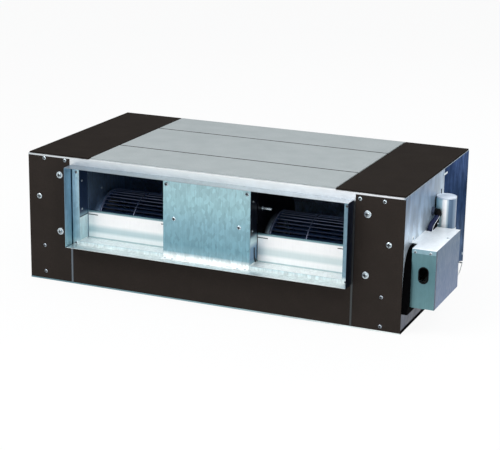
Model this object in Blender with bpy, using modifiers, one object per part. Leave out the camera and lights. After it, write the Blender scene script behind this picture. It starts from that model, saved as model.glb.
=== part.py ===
"""Ducted fan coil unit: two double-inlet blowers on one motor shaft in a sheet-metal casing.

X runs along the casing, -Y is the discharge side and Z is up. The origin is the middle
of the underside. Every length is in metres.
"""

import math

import bmesh
import bpy
from mathutils import Matrix, Vector

# Clearance and stock thicknesses
gap = 0.0003
sheet = 0.0012
front_foam = 0.006
top_pad = 0.004
bend = 0.015

# Blower wheel
wheel_radius = 0.120
wheel_length = 0.256
blade_count = 36
blade_depth = 0.021
blade_sheet = 0.001
blade_sweep = math.radians(9)
ring_width = 0.007
disc_sheet = 0.003
hub_radius = 0.021
hub_length = 0.042

# Scroll housing, whose radius grows evenly from the front, under the wheel, to the top
throat = 0.006
scroll_rise = 0.103
scroll_step = 15
inlet_clearance = 0.004
scroll_rim = 0.003
bell_radius = 0.098
bell_curve = 0.020
lip_rise = 0.0765
cutoff_height = 0.095
lip_roll = 0.003
foot_half_angle = 22

# Motor and shaft
bay_half = 0.151
shaft_radius = 0.0079
motor_radius = 0.070
motor_half = 0.084
motor_ring_radius = 0.029
motor_ring_length = 0.020
cradle_sheet = 0.002
cradle_half_depth = 0.048
motor_shoulder = 0.0644
motor_crown = 0.005
cradle_inset = 0.005
strap_ear = 0.016
strap_width = 0.015

# Room round the blowers
neck_depth = 0.056
neck_margin = 0.001
neck_lip = 0.004
side_bay = 0.1906
floor_gap = 0.006
top_gap = 0.0309
plenum = 0.0298
coil_bay = 0.288

# Front face
base_lip = 0.0047
seam_width = 0.0064
seam_setback = 0.0005
seam_tuck = 0.00084
cover_flange = 0.027
corner_strip = 0.005
collar_depth = 0.047
collar_side = 0.0286
collar_drop = 0.012
collar_top = 0.0103
cover_foot = 0.020
washer_screw_x = 0.117
washer_screw_low = 0.175
washer_screw_high = 0.368
washer_radius = 0.0105
washer_edge = 0.0011
washer_crown = 0.0018
screw_head_radius = 0.0048
screw_head_height = 0.0045
screw_radius = 0.0025
screw_length = 0.012

# Top insulation
pad_half = 0.4235
pad_seam = 0.006
pad_front_rim = 0.017
front_pad_end = 0.218
middle_pad_end = 0.510
black_side_rim = 0.004
black_front_rim = 0.010
pad_round = 0.0015

# Coil, drain pan and pipes
header_bay = 0.090
coil_thickness = 0.055
coil_height = 0.360
coil_tilt = math.radians(30)
coil_floor = 0.058
coil_plate = 0.0015
plate_margin = 0.008
tube_pitch = 0.025
tube_radius = 0.0048
bend_count = 6
bend_pitch = 0.043
pan_sheet = 0.002
pan_height = 0.044
pan_margin = 0.038
pan_front = 0.012
gas_radius = 0.0095
gas_level = 0.085
gas_across = 0.012
liquid_radius = 0.0048
liquid_level = -0.030
liquid_across = -0.016
header_foot = -0.150
pipe_reach = 0.045
pipe_clearance = 0.003
spigot_radius = 0.0125
spigot_wall = 0.002
curl_depth = 0.060
curl_height = 0.034
curl_strip = 0.0025
curl_window = 0.0295
curl_rim = 0.003
notch_rise = 0.018
return_margin = 0.0747
return_floor = 0.060
return_top = 0.400
return_collar = 0.020

# Electrical box on the right side
standoff = 0.020
box_width = 0.076
box_length = 0.255
box_height = 0.187
box_front = 0.025
box_floor = 0.086
lid_lip = 0.014
slot_width = 0.033
slot_height = 0.054
slot_rise = 0.106
grommet_wall = 0.0035
grommet_length = 0.006
bracket_front = 0.0543
bracket_length = 0.144
tab_width = 0.0165
tab_height = 0.018
block_length = 0.100
block_height = 0.030
block_depth = 0.024
block_base = 0.0096
block_wall = 0.003
block_poles = 5

# Capacitor and motor lead
can_radius = 0.032
can_height = 0.130
can_floor = 0.235
can_clear = 0.0158
can_rim = 0.0015
strap_height = 0.020
strap_wall = 0.0012
strap_tab = 0.044
strap_level = 0.020
lead_radius = 0.0075
lead_beside_can = 0.036
lead_hole_z = 0.320
lead_in_from_end = 0.0462
lead_box_z = 0.232
grommet_lip = 0.003
grommet_snout = 0.007

# The lead's way, in steps from the motor's side, from its hole in the panel and from the box
lead_at_motor = ((0.0, 0.0, 0.0), (0.010, 0.035, 0.050), (0.050, 0.1125, 0.140))
lead_inside_panel = ((-0.100, 0.062, 0.035), (-0.030, 0.004, 0.003), (-0.008, 0.0, 0.0))
lead_outside_panel = ((0.010, 0.0, 0.0), (0.0195, -0.003, -0.003), (0.0235, -0.009, -0.010))
lead_down_to_box = ((0.019, 0.035, 0.067), (0.011, 0.016, 0.056), (0.010, 0.001, 0.044))
lead_above_box_hole = ((0.010, 0.0, 0.020), (0.0145, 0.0, 0.003))
lead_in_box = ((0.0012, 0.0, 0.0), (0.015, 0.0, 0.0))

# Facets of round pieces, of holes and of folded or bent arcs
round_steps = 24
hole_steps = 16
arc_steps = 6
bend_steps = 4
bell_steps = 3
blade_steps = 2
smooth_angle = math.radians(46)

colours = {
    "galvanised": ((0.45, 0.53, 0.56), 0.35, 1.0),
    "bright_steel": ((0.72, 0.74, 0.75), 0.25, 1.0),
    "black_foam": ((0.025, 0.021, 0.018), 0.9, 0.0),
    "grey_foam": ((0.38, 0.41, 0.43), 0.8, 0.0),
    "wheel_steel": ((0.10, 0.11, 0.13), 0.4, 1.0),
    "motor_paint": ((0.06, 0.07, 0.08), 0.5, 0.0),
    "fin_aluminium": ((0.60, 0.62, 0.63), 0.4, 1.0),
    "copper": ((0.60, 0.27, 0.15), 0.35, 1.0),
    "black_rubber": ((0.015, 0.015, 0.017), 0.7, 0.0),
    "white_plastic": ((0.70, 0.70, 0.68), 0.5, 0.0),
    "can_aluminium": ((0.55, 0.60, 0.63), 0.3, 1.0),
}


def scroll_radius(angle):
    """Inner radius of the scroll, in degrees from +Y: 180 is the front, 270 the floor."""
    return wheel_radius + throat + scroll_rise * (angle - 180.0) / 270.0


def scroll_angles():
    return range(180, 451, scroll_step)


def scroll_reach(direction):
    """How far the scroll's inner face reaches from the shaft in one direction, in degrees."""
    return max(
        scroll_radius(angle) * math.cos(math.radians(angle - direction))
        for angle in scroll_angles()
    )


# Places that follow from the sizes above
inner_side_x = bay_half + neck_margin + sheet
wheel_side = bell_curve + inlet_clearance
wheel_x = inner_side_x + wheel_side + wheel_length / 2
outer_side_x = wheel_x + wheel_length / 2 + wheel_side
neck_outer_x = outer_side_x + sheet + neck_margin
half_width = neck_outer_x + side_bay
cutoff_to_axis = 2 * sheet + gap + scroll_reach(180)
axis_to_seam = scroll_reach(360) + sheet + plenum
depth = neck_depth + cutoff_to_axis + axis_to_seam + coil_bay
front_y = -depth / 2
back_y = depth / 2
outlet_y = front_y + neck_depth
axis_y = outlet_y + cutoff_to_axis
seam_y = axis_y + axis_to_seam
axis_z = 2 * sheet + floor_gap + scroll_reach(270)
scroll_top = axis_z + scroll_radius(450)
height = scroll_top + 2 * sheet + top_gap
lip_z = axis_z + lip_rise
neck_floor = lip_z - cutoff_height
floor_z = sheet + gap
ceiling_z = height - sheet - gap
panel_y = front_y + front_foam
collar_x = neck_outer_x + collar_side
collar_floor = neck_floor - collar_drop
collar_ceiling = scroll_top + collar_top
deck_top = height - cover_flange - gap
nose_inner = collar_x - seam_tuck
nose_outer = nose_inner + seam_width
wing_x = neck_outer_x + sheet + neck_lip + gap
notch_y = back_y - curl_depth
notch_top = curl_height + sheet + gap
pad_top = height + gap + top_pad
rotor_radius = wheel_radius - blade_depth
box_x = half_width + standoff
box_y = front_y + box_front
box_top = box_floor + box_height
can_x = half_width + 2 * gap + sheet + can_radius
can_y = box_y + box_length + can_clear + can_radius
lead_hole_y = can_y - lead_beside_can
lead_box_y = box_y + box_length - lead_in_from_end
coil_half = half_width - header_bay
return_half = half_width - bend - gap - return_margin
grommet_bore = lead_radius + 3 * gap


def clear_scene():
    for thing in list(bpy.data.objects):
        bpy.data.objects.remove(thing)


def collection(name):
    made = bpy.data.collections.new(name)
    bpy.context.scene.collection.children.link(made)
    return made


def material(name):
    """The principled material of this name, made once."""
    if name in bpy.data.materials:
        return bpy.data.materials[name]
    colour, roughness, metallic = colours[name]
    made = bpy.data.materials.new(name)
    made.use_nodes = True
    shader = made.node_tree.nodes["Principled BSDF"]
    shader.inputs["Base Color"].default_value = (*colour, 1.0)
    shader.inputs["Roughness"].default_value = roughness
    shader.inputs["Metallic"].default_value = metallic
    made.diffuse_color = (*colour, 1.0)
    return made


def place(name, data, finish, location=(0.0, 0.0, 0.0), rotation=(0.0, 0.0, 0.0)):
    """A new part object with its material, in the parts collection."""
    made = bpy.data.objects.new(name, data)
    made.location = location
    made.rotation_euler = rotation
    data.materials.clear()
    data.materials.append(material(finish))
    parts.objects.link(made)
    return made


def tuck_away(helper):
    """Moves a cutter or a joined piece out of the part."""
    parts.objects.unlink(helper)
    cutters.objects.link(helper)
    helper.hide_render = True
    helper.display_type = "WIRE"


def combine(target, helper, operation):
    modifier = target.modifiers.new(operation.lower(), "BOOLEAN")
    modifier.operation = operation
    modifier.solver = "EXACT"
    modifier.object = helper
    tuck_away(helper)


def cut(target, *helpers):
    for helper in helpers:
        combine(target, helper, "DIFFERENCE")


def join(target, *helpers):
    for helper in helpers:
        combine(target, helper, "UNION")


def bake(piece):
    """Replaces the piece's modifiers by the mesh that they make, with its round faces smooth."""
    bpy.context.view_layer.update()
    graph = bpy.context.evaluated_depsgraph_get()
    mesh = bpy.data.meshes.new_from_object(piece.evaluated_get(graph))
    shape = bmesh.new()
    shape.from_mesh(mesh)
    bmesh.ops.remove_doubles(shape, verts=shape.verts, dist=0.000001)
    shape.to_mesh(mesh)
    shape.free()
    name = piece.name
    location = piece.location.copy()
    rotation = piece.rotation_euler.copy()
    finish = mesh.materials[0].name
    bpy.data.objects.remove(piece)
    mesh.shade_smooth()
    mesh.set_sharp_from_angle(angle=smooth_angle)
    return place(name, mesh, finish, location, rotation)


def mirrored(source, name):
    """The left-hand copy of a right-hand piece."""
    source = bake(source)
    mesh = source.data.copy()
    across = Matrix.Scale(-1.0, 4, (1.0, 0.0, 0.0))
    turn = source.rotation_euler.to_matrix().to_4x4()
    mesh.transform(across @ turn)
    mesh.flip_normals()
    x, y, z = source.location
    return source, place(name, mesh, source.data.materials[0].name, (-x, y, z))


def cube_between(name, low, high, finish, missing=()):
    """A box between two corners, centred on its own origin, without the missing faces."""
    low = Vector(low)
    high = Vector(high)
    size = high - low
    shape = bmesh.new()
    bmesh.ops.create_cube(shape, size=1.0)
    bmesh.ops.scale(shape, vec=size, verts=shape.verts)
    directions = {
        "-x": Vector((-1, 0, 0)),
        "+x": Vector((1, 0, 0)),
        "-y": Vector((0, -1, 0)),
        "+y": Vector((0, 1, 0)),
        "-z": Vector((0, 0, -1)),
        "+z": Vector((0, 0, 1)),
    }
    shape.normal_update()
    gone = [f for f in shape.faces if any(f.normal.dot(directions[side]) > 0.5 for side in missing)]
    bmesh.ops.delete(shape, geom=gone, context="FACES")
    mesh = bpy.data.meshes.new(name)
    shape.to_mesh(mesh)
    shape.free()
    return place(name, mesh, finish, (low + high) / 2)


def thicken(piece, thickness, offset):
    modifier = piece.modifiers.new("thickness", "SOLIDIFY")
    modifier.thickness = thickness
    modifier.offset = offset
    modifier.use_even_offset = True
    modifier.use_quality_normals = True
    return piece


def block(name, low, high, finish, rounding=0.0):
    """A solid slab, with rounded edges where a radius is given."""
    piece = cube_between(name, low, high, finish)
    if rounding:
        modifier = piece.modifiers.new("rounding", "BEVEL")
        modifier.width = rounding
        modifier.segments = 1
    return piece


def tray(name, low, high, missing, finish="galvanised", thickness=sheet):
    """Folded sheet: an open box with the given outer corners, thickened inwards."""
    return thicken(cube_between(name, low, high, finish, missing), thickness, -1.0)


def folded(name, profile, start, stop, axis, finish="galvanised", thickness=sheet):
    """Sheet folded along a middle line and run from start to stop along X, Y or Z."""
    turns = {
        "x": lambda a, b, c: (c, a, b),
        "y": lambda a, b, c: (a, c, b),
        "z": lambda a, b, c: (a, b, c),
    }
    half = (stop - start) / 2
    shape = bmesh.new()
    points = [shape.verts.new(turns[axis](a, b, -half)) for a, b in profile]
    edges = [shape.edges.new(pair) for pair in zip(points, points[1:])]
    moved = bmesh.ops.extrude_edge_only(shape, edges=edges)["geom"]
    run = Vector(turns[axis](0.0, 0.0, 2 * half))
    bmesh.ops.translate(
        shape, vec=run, verts=[item for item in moved if isinstance(item, bmesh.types.BMVert)]
    )
    mesh = bpy.data.meshes.new(name)
    shape.to_mesh(mesh)
    shape.free()
    middle = turns[axis](0.0, 0.0, (start + stop) / 2)
    return bake(thicken(place(name, mesh, finish, middle), thickness, 0.0))


axis_turn = {
    "x": (0.0, math.pi / 2, 0.0),
    "-y": (math.pi / 2, 0.0, 0.0),
    "z": (0.0, 0.0, 0.0),
}


def turned(name, loops, axis, centre, finish, steps=round_steps, closed=True):
    """Each loop of (radius, height) points, outer side running down, turned about an axis."""
    mesh = bpy.data.meshes.new(name)
    points = []
    edges = []
    for loop in loops:
        first = len(points)
        points += [(radius, 0.0, along) for radius, along in loop]
        ring = closed and loop[0][0] > 0.0
        count = len(loop) if ring else len(loop) - 1
        edges += [(first + i, first + (i + 1) % len(loop)) for i in range(count)]
    mesh.from_pydata(points, edges, [])
    piece = place(name, mesh, finish, centre, axis_turn[axis])
    modifier = piece.modifiers.new("turn", "SCREW")
    modifier.steps = steps
    modifier.render_steps = steps
    modifier.use_merge_vertices = True
    modifier.merge_threshold = 0.00001
    return bake(piece)


def rod(name, radius, low, high, axis, centre, finish="galvanised", steps=hole_steps):
    """A plain round bar from low to high along an axis through the centre."""
    loop = [(0.0, high), (radius, high), (radius, low), (0.0, low)]
    return turned(name, [loop], axis, centre, finish, steps)


def corners_only(outline):
    """The outline without the points that lie on a straight side."""
    kept = []
    for before, point, after in zip(outline[-1:] + outline, outline, outline[1:] + outline[:1]):
        turn = Matrix((Vector(point) - Vector(before), Vector(after) - Vector(point)))
        if abs(turn.determinant()) > 1e-9:
            kept.append(point)
    return kept


def cut_flat(name, outlines, thickness, centre, facing, finish="galvanised"):
    """A plate cut to flat outlines, the first one outside and any others holes."""
    turns = {
        "x": (math.pi / 2, 0.0, math.pi / 2),
        "y": (math.pi / 2, 0.0, 0.0),
        "z": (0.0, 0.0, 0.0),
    }
    curve = bpy.data.curves.new(name, "CURVE")
    curve.dimensions = "2D"
    curve.fill_mode = "BOTH"
    curve.extrude = thickness / 2
    for outline in map(corners_only, outlines):
        spline = curve.splines.new("POLY")
        spline.points.add(len(outline) - 1)
        for point, (a, b) in zip(spline.points, outline):
            point.co = (a, b, 0.0, 1.0)
        spline.use_cyclic_u = True
    return bake(place(name, curve, finish, centre, turns[facing]))


def tube(name, points, radius, finish, resolution=2):
    """A round tube with closed ends along a list of points."""
    curve = bpy.data.curves.new(name, "CURVE")
    curve.dimensions = "3D"
    curve.bevel_depth = radius
    curve.bevel_resolution = resolution
    curve.use_fill_caps = True
    spline = curve.splines.new("POLY")
    spline.points.add(len(points) - 1)
    for point, place_at in zip(spline.points, points):
        point.co = (*place_at, 1.0)
    return bake(place(name, curve, finish))


def smooth_route(points, per_span):
    """Points on a Catmull-Rom curve through the given route."""
    route = [Vector(point) for point in points]
    route = [2 * route[0] - route[1], *route, 2 * route[-1] - route[-2]]
    found = []
    for a, b, c, d in zip(route, route[1:], route[2:], route[3:]):
        for i in range(per_span):
            t = i / per_span
            slope = (c - a) * t
            bow = (2 * a - 5 * b + 4 * c - d) * t * t
            twist = (3 * b - a - 3 * c + d) * t * t * t
            found.append((2 * b + slope + bow + twist) / 2)
    return [*found, route[-2]]


def arc(radius, start, stop, steps):
    """Points at a radius from one angle to another, with both ends."""
    angles = [start + (stop - start) * i / steps for i in range(steps + 1)]
    return [(radius * math.cos(angle), radius * math.sin(angle)) for angle in angles]


def circle(a, b, radius, steps):
    """The outline of a round hole about a point."""
    return [(a + x, b + y) for x, y in arc(radius, 0.0, math.tau, steps)[:-1]]


def oval(width, tall):
    """The outline of an upright slot with round ends."""
    radius = width / 2
    rise = tall / 2 - radius
    top = [(x, rise + z) for x, z in arc(radius, 0.0, math.pi, arc_steps)]
    return top + [(-x, -z) for x, z in top]


def make_base_and_top():
    """The base pan with its rear curl, and the top cover with its front flange."""
    middle = sheet / 2
    curl_radius = (curl_depth**2 + curl_height**2) / (2 * curl_height)
    curl_angle = math.asin(curl_depth / curl_radius)
    start_y = notch_y - middle
    rise = arc(curl_radius, -math.pi / 2, curl_angle - math.pi / 2, arc_steps)
    profile = [(front_y + middle, base_lip), (front_y + middle, middle)]
    profile += [(start_y + a, middle + curl_radius + b) for a, b in rise]
    base = folded("base_pan", profile, -half_width, half_width, "x")
    window_end = half_width - curl_strip
    for side in (-1, 1):
        ends = sorted((side * (window_end - curl_window), side * window_end))
        low = (ends[0], notch_y + curl_rim, -bend)
        high = (ends[1], back_y - curl_rim, notch_top + bend)
        cut(base, block("curl_window", low, high, "galvanised"))
    top = height - middle
    profile = [(front_y + middle, deck_top + gap), (front_y + middle, top), (back_y, top)]
    cover = folded("top_cover", profile, -half_width, half_width, "x")
    for side in (-1, 1):
        ends = sorted((side * nose_outer, side * (half_width + bend)))
        low = (ends[0], front_y - bend, deck_top - bend)
        high = (ends[1], front_y + bend, height - corner_strip)
        cut(cover, block("flange_trim", low, high, "galvanised"))


def make_side_panels():
    low = (half_width - bend, panel_y, floor_z)
    high = (half_width, seam_y - gap / 2, ceiling_z)
    front = tray("right_front_panel", low, high, ("-x", "-y"))
    front, _ = mirrored(front, "left_front_panel")
    centre = (half_width, lead_hole_y, lead_hole_z)
    cut(front, rod("lead_hole", grommet_bore + grommet_lip + gap, -bend, bend, "x", centre))
    low = (half_width - bend, seam_y + gap / 2, floor_z)
    high = (half_width, back_y, ceiling_z)
    rear = tray("right_rear_panel", low, high, ("-x",))
    notch = [
        (notch_y, 0.0),
        (back_y + bend, 0.0),
        (back_y + bend, notch_top),
        (notch_y, notch_top + notch_rise),
    ]
    cut(rear, cut_flat("corner_notch", [notch], 4 * bend, (half_width, 0.0, 0.0), "x"))
    _, rear = mirrored(rear, "left_rear_panel")
    for name, radius, y, z in pipe_holes():
        centre = (-half_width, y, z)
        cut(rear, rod(name, radius + pipe_clearance, -bend, bend, "x", centre))


def pipe_holes():
    """Where the pipes leave the left side: name, pipe radius, y and z."""
    return (
        ("gas_hole", gas_radius, gas_exit()[1], gas_exit()[2]),
        ("liquid_hole", liquid_radius, liquid_exit()[1], liquid_exit()[2]),
        ("drain_hole", spigot_radius, spigot_y(), spigot_z()),
    )


def screw_places():
    return [(half_width - washer_screw_x, z) for z in (washer_screw_low, washer_screw_high)]


def screw_cutter(x, z):
    centre = (x, panel_y, z)
    radius = screw_radius + gap
    return rod("screw_hole", radius, -2 * bend, 2 * bend, "-y", centre)


def make_front_corners():
    """Corner panels, their insulation and the large washer screws that hold them."""
    low = (nose_outer + gap, panel_y, 2 * floor_z)
    high = (half_width - sheet - gap, panel_y + bend, height - 2 * floor_z)
    panel = tray("right_corner_panel", low, high, ("+y", "+z", "-z"))
    low = (nose_outer + gap, front_y, base_lip + gap)
    high = (half_width, panel_y - gap, height - corner_strip - gap)
    cover = block("right_corner_foam", low, high, "black_foam")
    for x, z in screw_places():
        cut(panel, screw_cutter(x, z))
        cut(cover, screw_cutter(x, z))
    mirrored(panel, "left_corner_panel")
    mirrored(cover, "left_corner_foam")
    for level, (x, z) in zip(("lower", "upper"), screw_places()):
        head_top = washer_crown + screw_head_height
        loop = [
            (0.0, head_top),
            (screw_head_radius, head_top),
            (screw_head_radius, washer_crown),
            (washer_radius, washer_edge),
            (washer_radius, 0.0),
            (screw_radius, 0.0),
            (screw_radius, -screw_length),
            (0.0, -screw_length),
        ]
        for word, side in (("right", 1), ("left", -1)):
            name = f"{word}_{level}_screw"
            centre = (side * x, front_y - gap, z)
            turned(name, [loop], "-y", centre, "bright_steel", hole_steps)


def make_front_lower():
    """The panel under the collar, its insulation and the two seam posts."""
    low = (gap - nose_inner, panel_y, floor_z)
    high = (nose_inner - gap, panel_y + bend, collar_floor)
    panel = tray("lower_panel", low, high, ("-x", "+x", "+y"))
    for side in (-1, 1):
        ends = sorted((side * (wing_x - gap), side * (nose_inner + bend)))
        low = (ends[0], panel_y + sheet + gap / 2, 0.0)
        high = (ends[1], panel_y + 2 * bend, collar_floor + bend)
        cut(panel, block("post_notch", low, high, "galvanised"))
    low = (gap - nose_inner, front_y, base_lip + gap)
    high = (nose_inner - gap, panel_y - gap, collar_floor - gap)
    block("lower_foam", low, high, "black_foam")
    nose_y = front_y + seam_setback
    wing_y = panel_y + sheet + gap
    outline = [
        (nose_inner, nose_y),
        (nose_outer, nose_y),
        (nose_outer, wing_y + sheet),
        (wing_x, wing_y + sheet),
        (wing_x, wing_y),
        (nose_inner, wing_y),
    ]
    low = base_lip + gap
    centre = (0.0, 0.0, (low + deck_top) / 2)
    post = cut_flat("right_seam_post", [outline], deck_top - low, centre, "z", "bright_steel")
    mirrored(post, "left_seam_post")


def make_discharge():
    """Fan deck, outlet necks, the collar round both outlets and the centre cover."""
    low = (gap - nose_inner, front_y, collar_floor + gap)
    high = (nose_inner - gap, front_y + sheet, deck_top)
    deck = block("fan_deck", low, high, "galvanised")
    for side in (-1, 1):
        ends = sorted((side * bay_half, side * neck_outer_x))
        low = (ends[0], front_y - bend, neck_floor)
        high = (ends[1], front_y + bend, scroll_top)
        cut(deck, block("deck_opening", low, high, "galvanised"))
    neck = outlet_neck()
    mirrored(neck, "left_outlet_neck")
    low = (-collar_x, front_y - gap - collar_depth, collar_floor)
    high = (collar_x, front_y - gap, collar_ceiling)
    collar = tray("discharge_collar", low, high, ("-y",))
    low = (-neck_outer_x, front_y - bend, neck_floor)
    high = (neck_outer_x, front_y + bend, scroll_top)
    cut(collar, block("collar_opening", low, high, "galvanised"))
    cover_y = front_y - 2 * gap - 1.5 * sheet
    foot_z = collar_floor + gap + 1.5 * sheet
    profile = [
        (cover_y, collar_ceiling - sheet - gap),
        (cover_y, foot_z),
        (cover_y - cover_foot, foot_z),
    ]
    folded("centre_cover", profile, -bay_half, bay_half, "x")


def outlet_neck():
    """A short square duct from the deck to the scroll, with a lip turned out at its front."""
    low = Vector((bay_half - sheet, front_y + 2 * sheet + gap, neck_floor - sheet))
    high = Vector((neck_outer_x + sheet, outlet_y - gap, scroll_top + sheet))
    neck = cube_between("right_outlet_neck", low, high, "galvanised", ("-y", "+y"))
    front = (low - high).y / 2
    shape = bmesh.new()
    shape.from_mesh(neck.data)
    rim = [e for e in shape.edges if all(v.co.y < front + gap for v in e.verts)]
    moved = bmesh.ops.extrude_edge_only(shape, edges=rim)["geom"]
    for vert in moved:
        if isinstance(vert, bmesh.types.BMVert):
            vert.co.x += math.copysign(neck_lip, vert.co.x)
            vert.co.z += math.copysign(neck_lip, vert.co.z)
    bmesh.ops.recalc_face_normals(shape, faces=shape.faces)
    roof = max(shape.faces, key=lambda face: face.calc_center_median().z + face.calc_area())
    if roof.normal.z < 0:
        bmesh.ops.reverse_faces(shape, faces=shape.faces)
    shape.to_mesh(neck.data)
    shape.free()
    return thicken(neck, sheet, -1.0)


def scroll_point(angle, extra):
    radius = scroll_radius(angle) + extra
    turn = math.radians(angle)
    return (axis_y + radius * math.cos(turn), axis_z + radius * math.sin(turn))


def make_scrolls():
    """Wraps, cut-off plates and side plates with pressed bell mouths, for both blowers."""
    start = inner_side_x + gap
    stop = outer_side_x - gap
    spiral = [scroll_point(angle, sheet / 2) for angle in scroll_angles()]
    profile = [(spiral[0][0], lip_z - lip_roll - sheet), *spiral, (outlet_y, spiral[-1][1])]
    wrap = folded("right_scroll_wrap", profile, start, stop, "x")
    mirrored(wrap, "left_scroll_wrap")
    plate_y = outlet_y + sheet / 2
    roll_z = lip_z - sheet / 2 - lip_roll
    roll = arc(lip_roll, math.pi, 0.0, arc_steps)
    profile = [(plate_y, neck_floor - sheet)]
    profile += [(plate_y + lip_roll + a, roll_z + b) for a, b in roll]
    profile.append((plate_y + 2 * lip_roll, roll_z - lip_roll))
    plate = folded("right_cutoff_plate", profile, start, stop, "x", "bright_steel")
    mirrored(plate, "left_cutoff_plate")
    outer = scroll_side("right_outer_scroll_side", outer_side_x, 1)
    mirrored(outer, "left_outer_scroll_side")
    inner = scroll_side("right_inner_scroll_side", inner_side_x, -1)
    mirrored(inner, "left_inner_scroll_side")


def scroll_side(name, face_x, outwards):
    """A side plate on a foot, with an inlet bell that curves in towards the wheel."""
    outline = []
    for angle in scroll_angles():
        y, z = scroll_point(angle, sheet + scroll_rim)
        if abs(angle - 270) <= foot_half_angle:
            z = floor_z
        outline.append((max(y, outlet_y), z))
    outline.append((outlet_y, outline[-1][1]))
    plate_x = face_x + outwards * sheet / 2
    mouth = bell_radius + bell_curve
    hole = circle(axis_y, axis_z, mouth + sheet, round_steps)
    plate = cut_flat(name, [outline, hole], sheet, (plate_x, 0.0, 0.0), "x")
    curve = arc(bell_curve, 0.0, math.pi / 2, bell_steps)
    profile = [(mouth + 3 * sheet, 0.0)]
    profile += [(mouth - b, outwards * (a - bell_curve)) for a, b in curve]
    centre = (plate_x + outwards * sheet / 4, axis_y, axis_z)
    bell = turned("inlet_bell", [profile], "x", centre, "galvanised", closed=False)
    join(plate, thicken(bell, sheet, 0.0))
    return plate


def make_rotor():
    """Both wheels and the shaft, carried by an empty on the axis that they turn about."""
    axle = bpy.data.objects.new("rotor_axis", None)
    axle.location = (0.0, axis_y, axis_z)
    parts.objects.link(axle)
    wheel = bake(fan_wheel("right_fan_wheel"))
    twin = place("left_fan_wheel", wheel.data, "wheel_steel", (0.0, 0.0, 0.0), axis_turn["x"])
    shaft_end = wheel_x + hub_length / 2 + shaft_radius
    ends = (-shaft_end, shaft_end)
    shaft = rod("motor_shaft", shaft_radius, *ends, "x", (0, 0, 0), "bright_steel", round_steps)
    for piece, x in ((wheel, wheel_x), (twin, -wheel_x), (shaft, 0.0)):
        piece.parent = axle
        piece.location = (x, 0.0, 0.0)


def fan_wheel(name):
    """Forward-curved blades between two end rings and a centre disc with a hub."""
    end = wheel_length / 2
    reach = end - ring_width / 2
    shape = bmesh.new()
    for number in range(blade_count):
        start = math.tau * (number + 0.5) / blade_count
        line = []
        for i in range(blade_steps + 1):
            part_way = i / blade_steps
            radius = rotor_radius + (blade_depth - blade_sheet) * part_way
            turn = start + blade_sweep * part_way**2
            place_at = (radius * math.cos(turn), radius * math.sin(turn), -reach)
            line.append(shape.verts.new(place_at))
        edges = [shape.edges.new(pair) for pair in zip(line, line[1:])]
        moved = bmesh.ops.extrude_edge_only(shape, edges=edges)["geom"]
        ends = [item for item in moved if isinstance(item, bmesh.types.BMVert)]
        bmesh.ops.translate(shape, vec=(0.0, 0.0, 2 * reach), verts=ends)
    mesh = bpy.data.meshes.new(name)
    shape.to_mesh(mesh)
    shape.free()
    wheel = place(name, mesh, "wheel_steel", (0.0, 0.0, 0.0), axis_turn["x"])
    thicken(wheel, blade_sheet, 0.0)
    inside = rotor_radius - blade_sheet
    bore = shaft_radius + gap
    half_disc = disc_sheet / 2
    half_hub = hub_length / 2
    corners = ((inside, end), (wheel_radius, end), (wheel_radius, end - ring_width))
    top_ring = [*corners, (inside, end - ring_width)]
    low_ring = [(radius, along - 2 * end + ring_width) for radius, along in top_ring]
    disc = [
        (bore, half_hub),
        (hub_radius, half_hub),
        (hub_radius, half_disc),
        (wheel_radius, half_disc),
        (wheel_radius, -half_disc),
        (hub_radius, -half_disc),
        (hub_radius, -half_hub),
        (bore, -half_hub),
    ]
    frame = turned("wheel_frame", [top_ring, disc, low_ring], "x", (0, 0, 0), "wheel_steel")
    join(wheel, frame)
    return wheel


def make_motor():
    """The motor, the cradle that holds its end rings and a strap over each ring."""
    centre = (0.0, axis_y, axis_z)
    bore = shaft_radius + gap
    ring_end = motor_half + motor_ring_length
    crown = motor_half + motor_crown
    loop = [
        (bore, ring_end),
        (motor_ring_radius, ring_end),
        (motor_ring_radius, crown),
        (motor_shoulder, motor_half),
        (motor_radius, motor_half - motor_ring_length),
        (motor_radius, motor_ring_length - motor_half),
        (motor_shoulder, -motor_half),
        (motor_ring_radius, -crown),
        (motor_ring_radius, -ring_end),
        (bore, -ring_end),
    ]
    turned("motor_body", [loop], "x", centre, "motor_paint")
    arm_x = ring_end - cradle_inset
    low = (-arm_x, axis_y - cradle_half_depth, floor_z)
    high = (arm_x, axis_y + cradle_half_depth, axis_z)
    cradle = tray("motor_cradle", low, high, ("+z", "-y", "+y"), "galvanised", cradle_sheet)
    seat = motor_ring_radius + gap
    ends = (-half_width, half_width)
    cut(cradle, rod("cradle_seat", seat, *ends, "x", centre, steps=round_steps))
    ear = gap + strap_wall / 2
    start = math.asin(ear / (seat + strap_wall / 2))
    step = (math.pi - 2 * start) / arc_steps
    out = (seat + strap_wall / 2) / math.cos(step / 2)
    over = arc(out, start + step, math.pi - start - step, arc_steps - 2)
    near = out * math.cos(start)
    far = motor_ring_radius + strap_ear
    profile = [(far, ear), (near, ear), *over, (-near, ear), (-far, ear)]
    profile = [(axis_y + a, axis_z + b) for a, b in profile]
    start = ring_end - strap_width
    strap = folded("right_motor_strap", profile, start, ring_end, "x", "galvanised", strap_wall)
    mirrored(strap, "left_motor_strap")


def coil_centre():
    along = coil_height / 2 + plate_margin
    across = coil_thickness / 2 + plate_margin
    rise = along * math.cos(coil_tilt) + across * math.sin(coil_tilt)
    run = along * math.sin(coil_tilt) + across * math.cos(coil_tilt)
    return (seam_y + pan_front + pan_sheet + gap + run, coil_floor + rise)


def coil_point(along, across):
    """A point of the tilted coil: along its height, and across it towards the rear."""
    y, z = coil_centre()
    sin_tilt = math.sin(coil_tilt)
    cos_tilt = math.cos(coil_tilt)
    return (y + along * sin_tilt + across * cos_tilt, z + along * cos_tilt - across * sin_tilt)


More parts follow.
